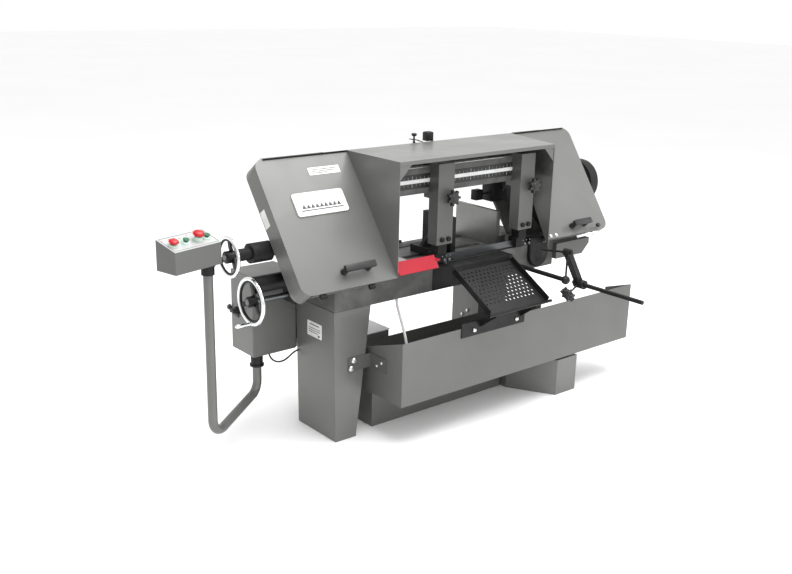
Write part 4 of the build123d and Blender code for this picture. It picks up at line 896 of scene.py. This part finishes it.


# ---------------------------------------------------------------------------
# Base: bolts, bed top, painted shade on the bed's right end, box fittings and a painted shadow strip
# ---------------------------------------------------------------------------
def make_base_bolts():
    groups = (
        ("bracket_bolts", (spot(78.0, -4.0, 314.0), spot(66.0, -4.0, 284.0)), FRONT, 23.0, 9.0),
        ("tray_bolts", (spot(156.0, -72.0, 306.0), spot(156.0, -44.0, 288.0)), LEFT, 12.0, 5.0),
        ("chute_bolts", (spot(512.0, -192.0, 398.0), spot(742.0, -192.0, 398.0)), FRONT, 18.0, 7.0),
        ("column_bolts", (spot(900.0, 282.0, 258.0), spot(900.0, 250.0, 284.0)), LEFT, 18.0, 7.0),
    )
    pieces = []
    for name, places, way, width, height in groups:
        for number, place in enumerate(places):
            pieces.append(socket_bolt(f"{name}_{number}", place, way, width, height, True))
    for piece in pieces:
        piece.data.materials.clear()
        piece.data.materials.append(bright_steel)
        # The second slot is black: the sockets' painted shade.
        piece.data.materials.append(black_iron)
    fit(join("stand_bolts", *pieces), "base", None, ("base_bolts",))


def make_bed_top():
    """Bright ground strip of the table left of the cut, and the dark vise ways."""
    strip = add_box("ground_strip", spot(214.0, 190.0, 622.07), (410.0, 256.0, 0.3))
    inset_faces(strip, facing(UP), 3.0, 0.0)
    fit(strip, "base", bed_top_steel)
    ways = []
    for y, depth in ((31.0, 58.0), (286.0, 44.0)):
        way = add_box("way", spot(688.0, y, 622.6), (508.0, depth, 3.0))
        bevel(way, 1.2, 2)
        ways.append(way)
    fit(join("vise_ways", *ways), "base", black_enamel)


def make_bed_end_shade():
    """Black drum with a square top on the front of the bed's right end: painted shade, standing for the
    guard's round-edged shadow there.
    """
    drum = turned("bed_end_shade", ((0.0, 104.0), (3.0, 112.0), (15.0, 112.0), (18.0, 104.0),
                                    (18.0, 54.0), (20.0, 46.0)), 56)
    stand(drum, spot(1043.0, -2.0, 580.0), FRONT)
    cap = add_box("bed_end_shade_top", spot(1043.0, -10.0, 616.0), (112.0, 16.0, 72.0))
    bevel(cap, 4.0, 3)
    fit(join("bed_end_shade_drum", drum, cap), "base", black_iron)


def make_box_fittings():
    plug = add_box("box_socket", spot(-201.0, 358.0, 452.0), (4.0, 24.0, 24.0))
    bevel(plug, 1.5, 3)
    lamp = turned("box_lamp", ((0.0, 24.0), (3.0, 24.0), (5.0, 20.0), (9.0, 19.0), (10.0, 15.0)), 32)
    stand(lamp, spot(-199.5, 410.0, 466.0), LEFT)
    fit(join("box_knob", plug, lamp), "base", black_plastic)
    # A black strip along the pedestal's back edge beside the electrical box: painted shadow that the box and
    # guard cast on the upper pedestal.
    shadow_strip = add_box("pedestal_shadow_strip", spot(-6.0, 256.0, 464.0), (5.0, 12.0, 306.0))
    bevel(shadow_strip, 0.8, 2)
    fit(shadow_strip, "base", black_enamel)
    gland = turned("cable_gland", ((0.0, 22.0), (7.0, 22.0), (8.0, 16.0), (15.0, 14.0), (16.0, 9.0)), 28)
    stand(gland, spot(-100.0, 300.0, 308.3), -UP)
    fit(gland, "base", black_plastic)


make_base_bolts()
make_bed_top()
make_bed_end_shade()
make_box_fittings()


# ---------------------------------------------------------------------------
# Motor
# ---------------------------------------------------------------------------
def make_motor_shell():
    """Ribbed motor body, end bell, louvred fan cover and terminal box."""
    axis = spot(1340.0, 316.0, 775.0)
    bell = turned("motor_bell", ((0.0, 150.0), (4.0, 176.0), (16.0, 192.0), (38.0, 192.0),
                                 (41.0, 182.0)), 72)
    stand(bell, axis, RIGHT)
    clear()
    bpy.ops.mesh.primitive_cylinder_add(vertices=96, radius=84.0 * MM, depth=254.0 * MM)
    body = take("motor_body")
    sides = [face.index for face in body.data.polygons if abs(face.normal.z) < 0.5]
    sides.sort(key=lambda index: math.atan2(body.data.polygons[index].center.y,
                                            body.data.polygons[index].center.x))
    ribs = set(sides[::2])
    pick_faces(body, lambda face: face.index in ribs)
    bpy.ops.mesh.inset(thickness=0.6 * MM, depth=8.0 * MM, use_individual=True)
    bpy.ops.object.mode_set(mode="OBJECT")
    stand(body, axis + RIGHT * 167.0 * MM, RIGHT)
    cover = turned("fan_cover", ((293.0, 203.0), (294.5, 206.0), (334.0, 207.0), (346.0, 200.0),
                                 (353.0, 178.0), (354.0, 150.0), (350.5, 146.0), (350.5, 132.0),
                                 (354.5, 128.0), (354.5, 108.0), (350.5, 104.0), (350.5, 90.0),
                                 (354.5, 86.0), (354.5, 40.0)), 72)
    stand(cover, axis, RIGHT)
    box = add_box("terminal_box", spot(1480.0, 316.0, 878.0), (110.0, 84.0, 44.0))
    inset_faces(box, facing(UP), 5.0, 2.0)
    bevel(box, 3.0, 3)
    whole = join("motor_shell", body, bell, cover, box)
    fit(whole, "head", black_iron, ("motor",))
    neck = []
    for number in range(4):
        angle = math.radians(45.0 + number * 90.0)
        place = axis + Vector((0.0, 80.0 * math.cos(angle), 80.0 * math.sin(angle))) * MM
        neck.append(place + RIGHT * 2.5 * MM)
    bolts("motor_bolts", neck, LEFT, 13.0, 8.0, bright_steel, "head")


make_motor_shell()


# ---------------------------------------------------------------------------
# Control panel
# ---------------------------------------------------------------------------
PANEL_TILT = math.atan2(104.0 - 76.0, 94.0)
PANEL_TURN = Matrix.Rotation(math.radians(13.5), 4, "Z") @ Matrix.Rotation(PANEL_TILT, 4, "X")


def panel_spot(x, y, height):
    """A place on the control box's sloping panel."""
    return spot(-436.0, 140.0, 830.0) + (PANEL_TURN @ Vector((x, y, height))) * MM


def make_panel_details():
    across, upward, out = (PANEL_TURN @ Vector(way) for way in ((1, 0, 0), (0, 1, 0), (0, 0, 1)))
    lines = []
    for x, y, length, height in ((-78.0, 43.0, 188.0, 1.6), (-78.0, -43.0, 188.0, 1.6),
                                 (-172.0, 0.0, 1.6, 86.0), (16.0, 0.0, 1.6, 86.0),
                                 (-126.0, 28.0, 26.0, 9.0)):
        place = panel_spot(x, y, 2.1)
        lines.append(flat_plate("panel_line", place, across, upward, (length, height, 0.5), label_ink,
                                "console", 0.6))
    fit(join("panel_print", *lines), "console", label_ink)
    marks = []
    for x, y in ((-166.0, 30.0), (-100.0, 22.0), (-64.0, 30.0), (-48.0, -34.0)):
        place = panel_spot(x, y, 2.1)
        marks.append(flat_plate("panel_mark", place, across, upward, (5.0, 3.0, 0.5), label_red,
                                "console", 0.8))
    fit(join("panel_marks", *marks), "console", label_red)
    shells = (("stop_push", "stop_button", -152.0, 34.0, 12.0, button_red, "button_red", 6.0, True),
              ("start_push", "start_button", -100.0, 22.0, 5.0, button_green, "button_green", 6.0, False),
              ("emergency_push", "emergency_stop", -48.0, 40.0, 15.0, button_red, "button_red", 14.4, True),
              ("feed_push", "feed_button", -10.0, 22.0, 5.0, button_green, "button_green", 6.0, False))
    rings = []
    for body, node, x, width, height, finish, slot, collar, domed in shells:
        base = 2.0 + collar + 4.6
        if domed:
            profile = ((base - 6.0, 14.0), (base, 16.0), (base + 1.0, width - 4.0), (base + 3.0, width),
                       (base + height * 0.45, width), (base + height * 0.75, width * 0.86),
                       (base + height * 0.95, width * 0.55), (base + height, width * 0.2))
        else:
            profile = ((base - 6.0, 13.0), (base, 14.0), (base + 0.5, width - 1.0),
                       (base + height - 1.0, width),
                       (base + height, width - 3.0), (base + height - 0.6, width - 5.0))
        cap = turned(f"{node}_cap", profile, 40)
        place = panel_spot(x, -9.0, 0.0)
        stand(cap, place, out)
        fit(cap, body, finish, (node,))
        ring = turned(f"{node}_collar", ((1.6, 24.0), (2.0, 31.0), (2.0 + collar * 0.55, 30.0),
                                         (2.0 + collar - 0.6, 26.0), (2.0 + collar, 21.0)), 40)
        stand(ring, place, out)
        rings.append(ring)
    fit(join("button_collars", *rings), "console", button_clear, ("button_bezels",))


make_panel_details()


# ---------------------------------------------------------------------------
# Stage and light
# ---------------------------------------------------------------------------
def make_stage():
    clear()
    bpy.ops.mesh.primitive_plane_add(size=60.0, location=(0.0, 0.0, -0.0005))
    floor = bpy.context.object
    floor.name = "floor"
    finish = Finish("floor_pale", (0.96, 0.96, 0.96), 0.75)
    finish.tint(0.6, (0.95, 0.95, 0.95), (0.97, 0.97, 0.97))
    floor.data.materials.append(finish.material)
    world = bpy.data.worlds.new("studio")
    bpy.context.scene.world = world
    world.use_nodes = True
    sky = world.node_tree.nodes["Background"]
    sky.inputs["Color"].default_value = (1.0, 1.0, 1.0, 1.0)
    sky.inputs["Strength"].default_value = 1.0
    bpy.context.scene.view_settings.view_transform = "Standard"


def make_light(name, place, size, power, target):
    data = bpy.data.lights.new(name, "AREA")
    data.shape = "RECTANGLE"
    data.size = size[0]
    data.size_y = size[1]
    data.energy = power
    light = bpy.data.objects.new(name, data)
    bpy.context.scene.collection.objects.link(light)
    light.location = place
    light.rotation_euler = (Vector(target) - Vector(place)).to_track_quat("-Z", "Y").to_euler()


make_stage()
make_light("top_light", (0.2, -0.3, 3.4), (3.4, 2.4), 155.0, (0.0, 0.1, 0.6))
make_light("front_light", (-0.8, -3.6, 2.2), (2.6, 1.6), 34.0, (0.1, 0.0, 0.6))
make_light("side_light", (3.4, -1.6, 2.0), (1.6, 2.0), 15.0, (0.3, 0.0, 0.7))
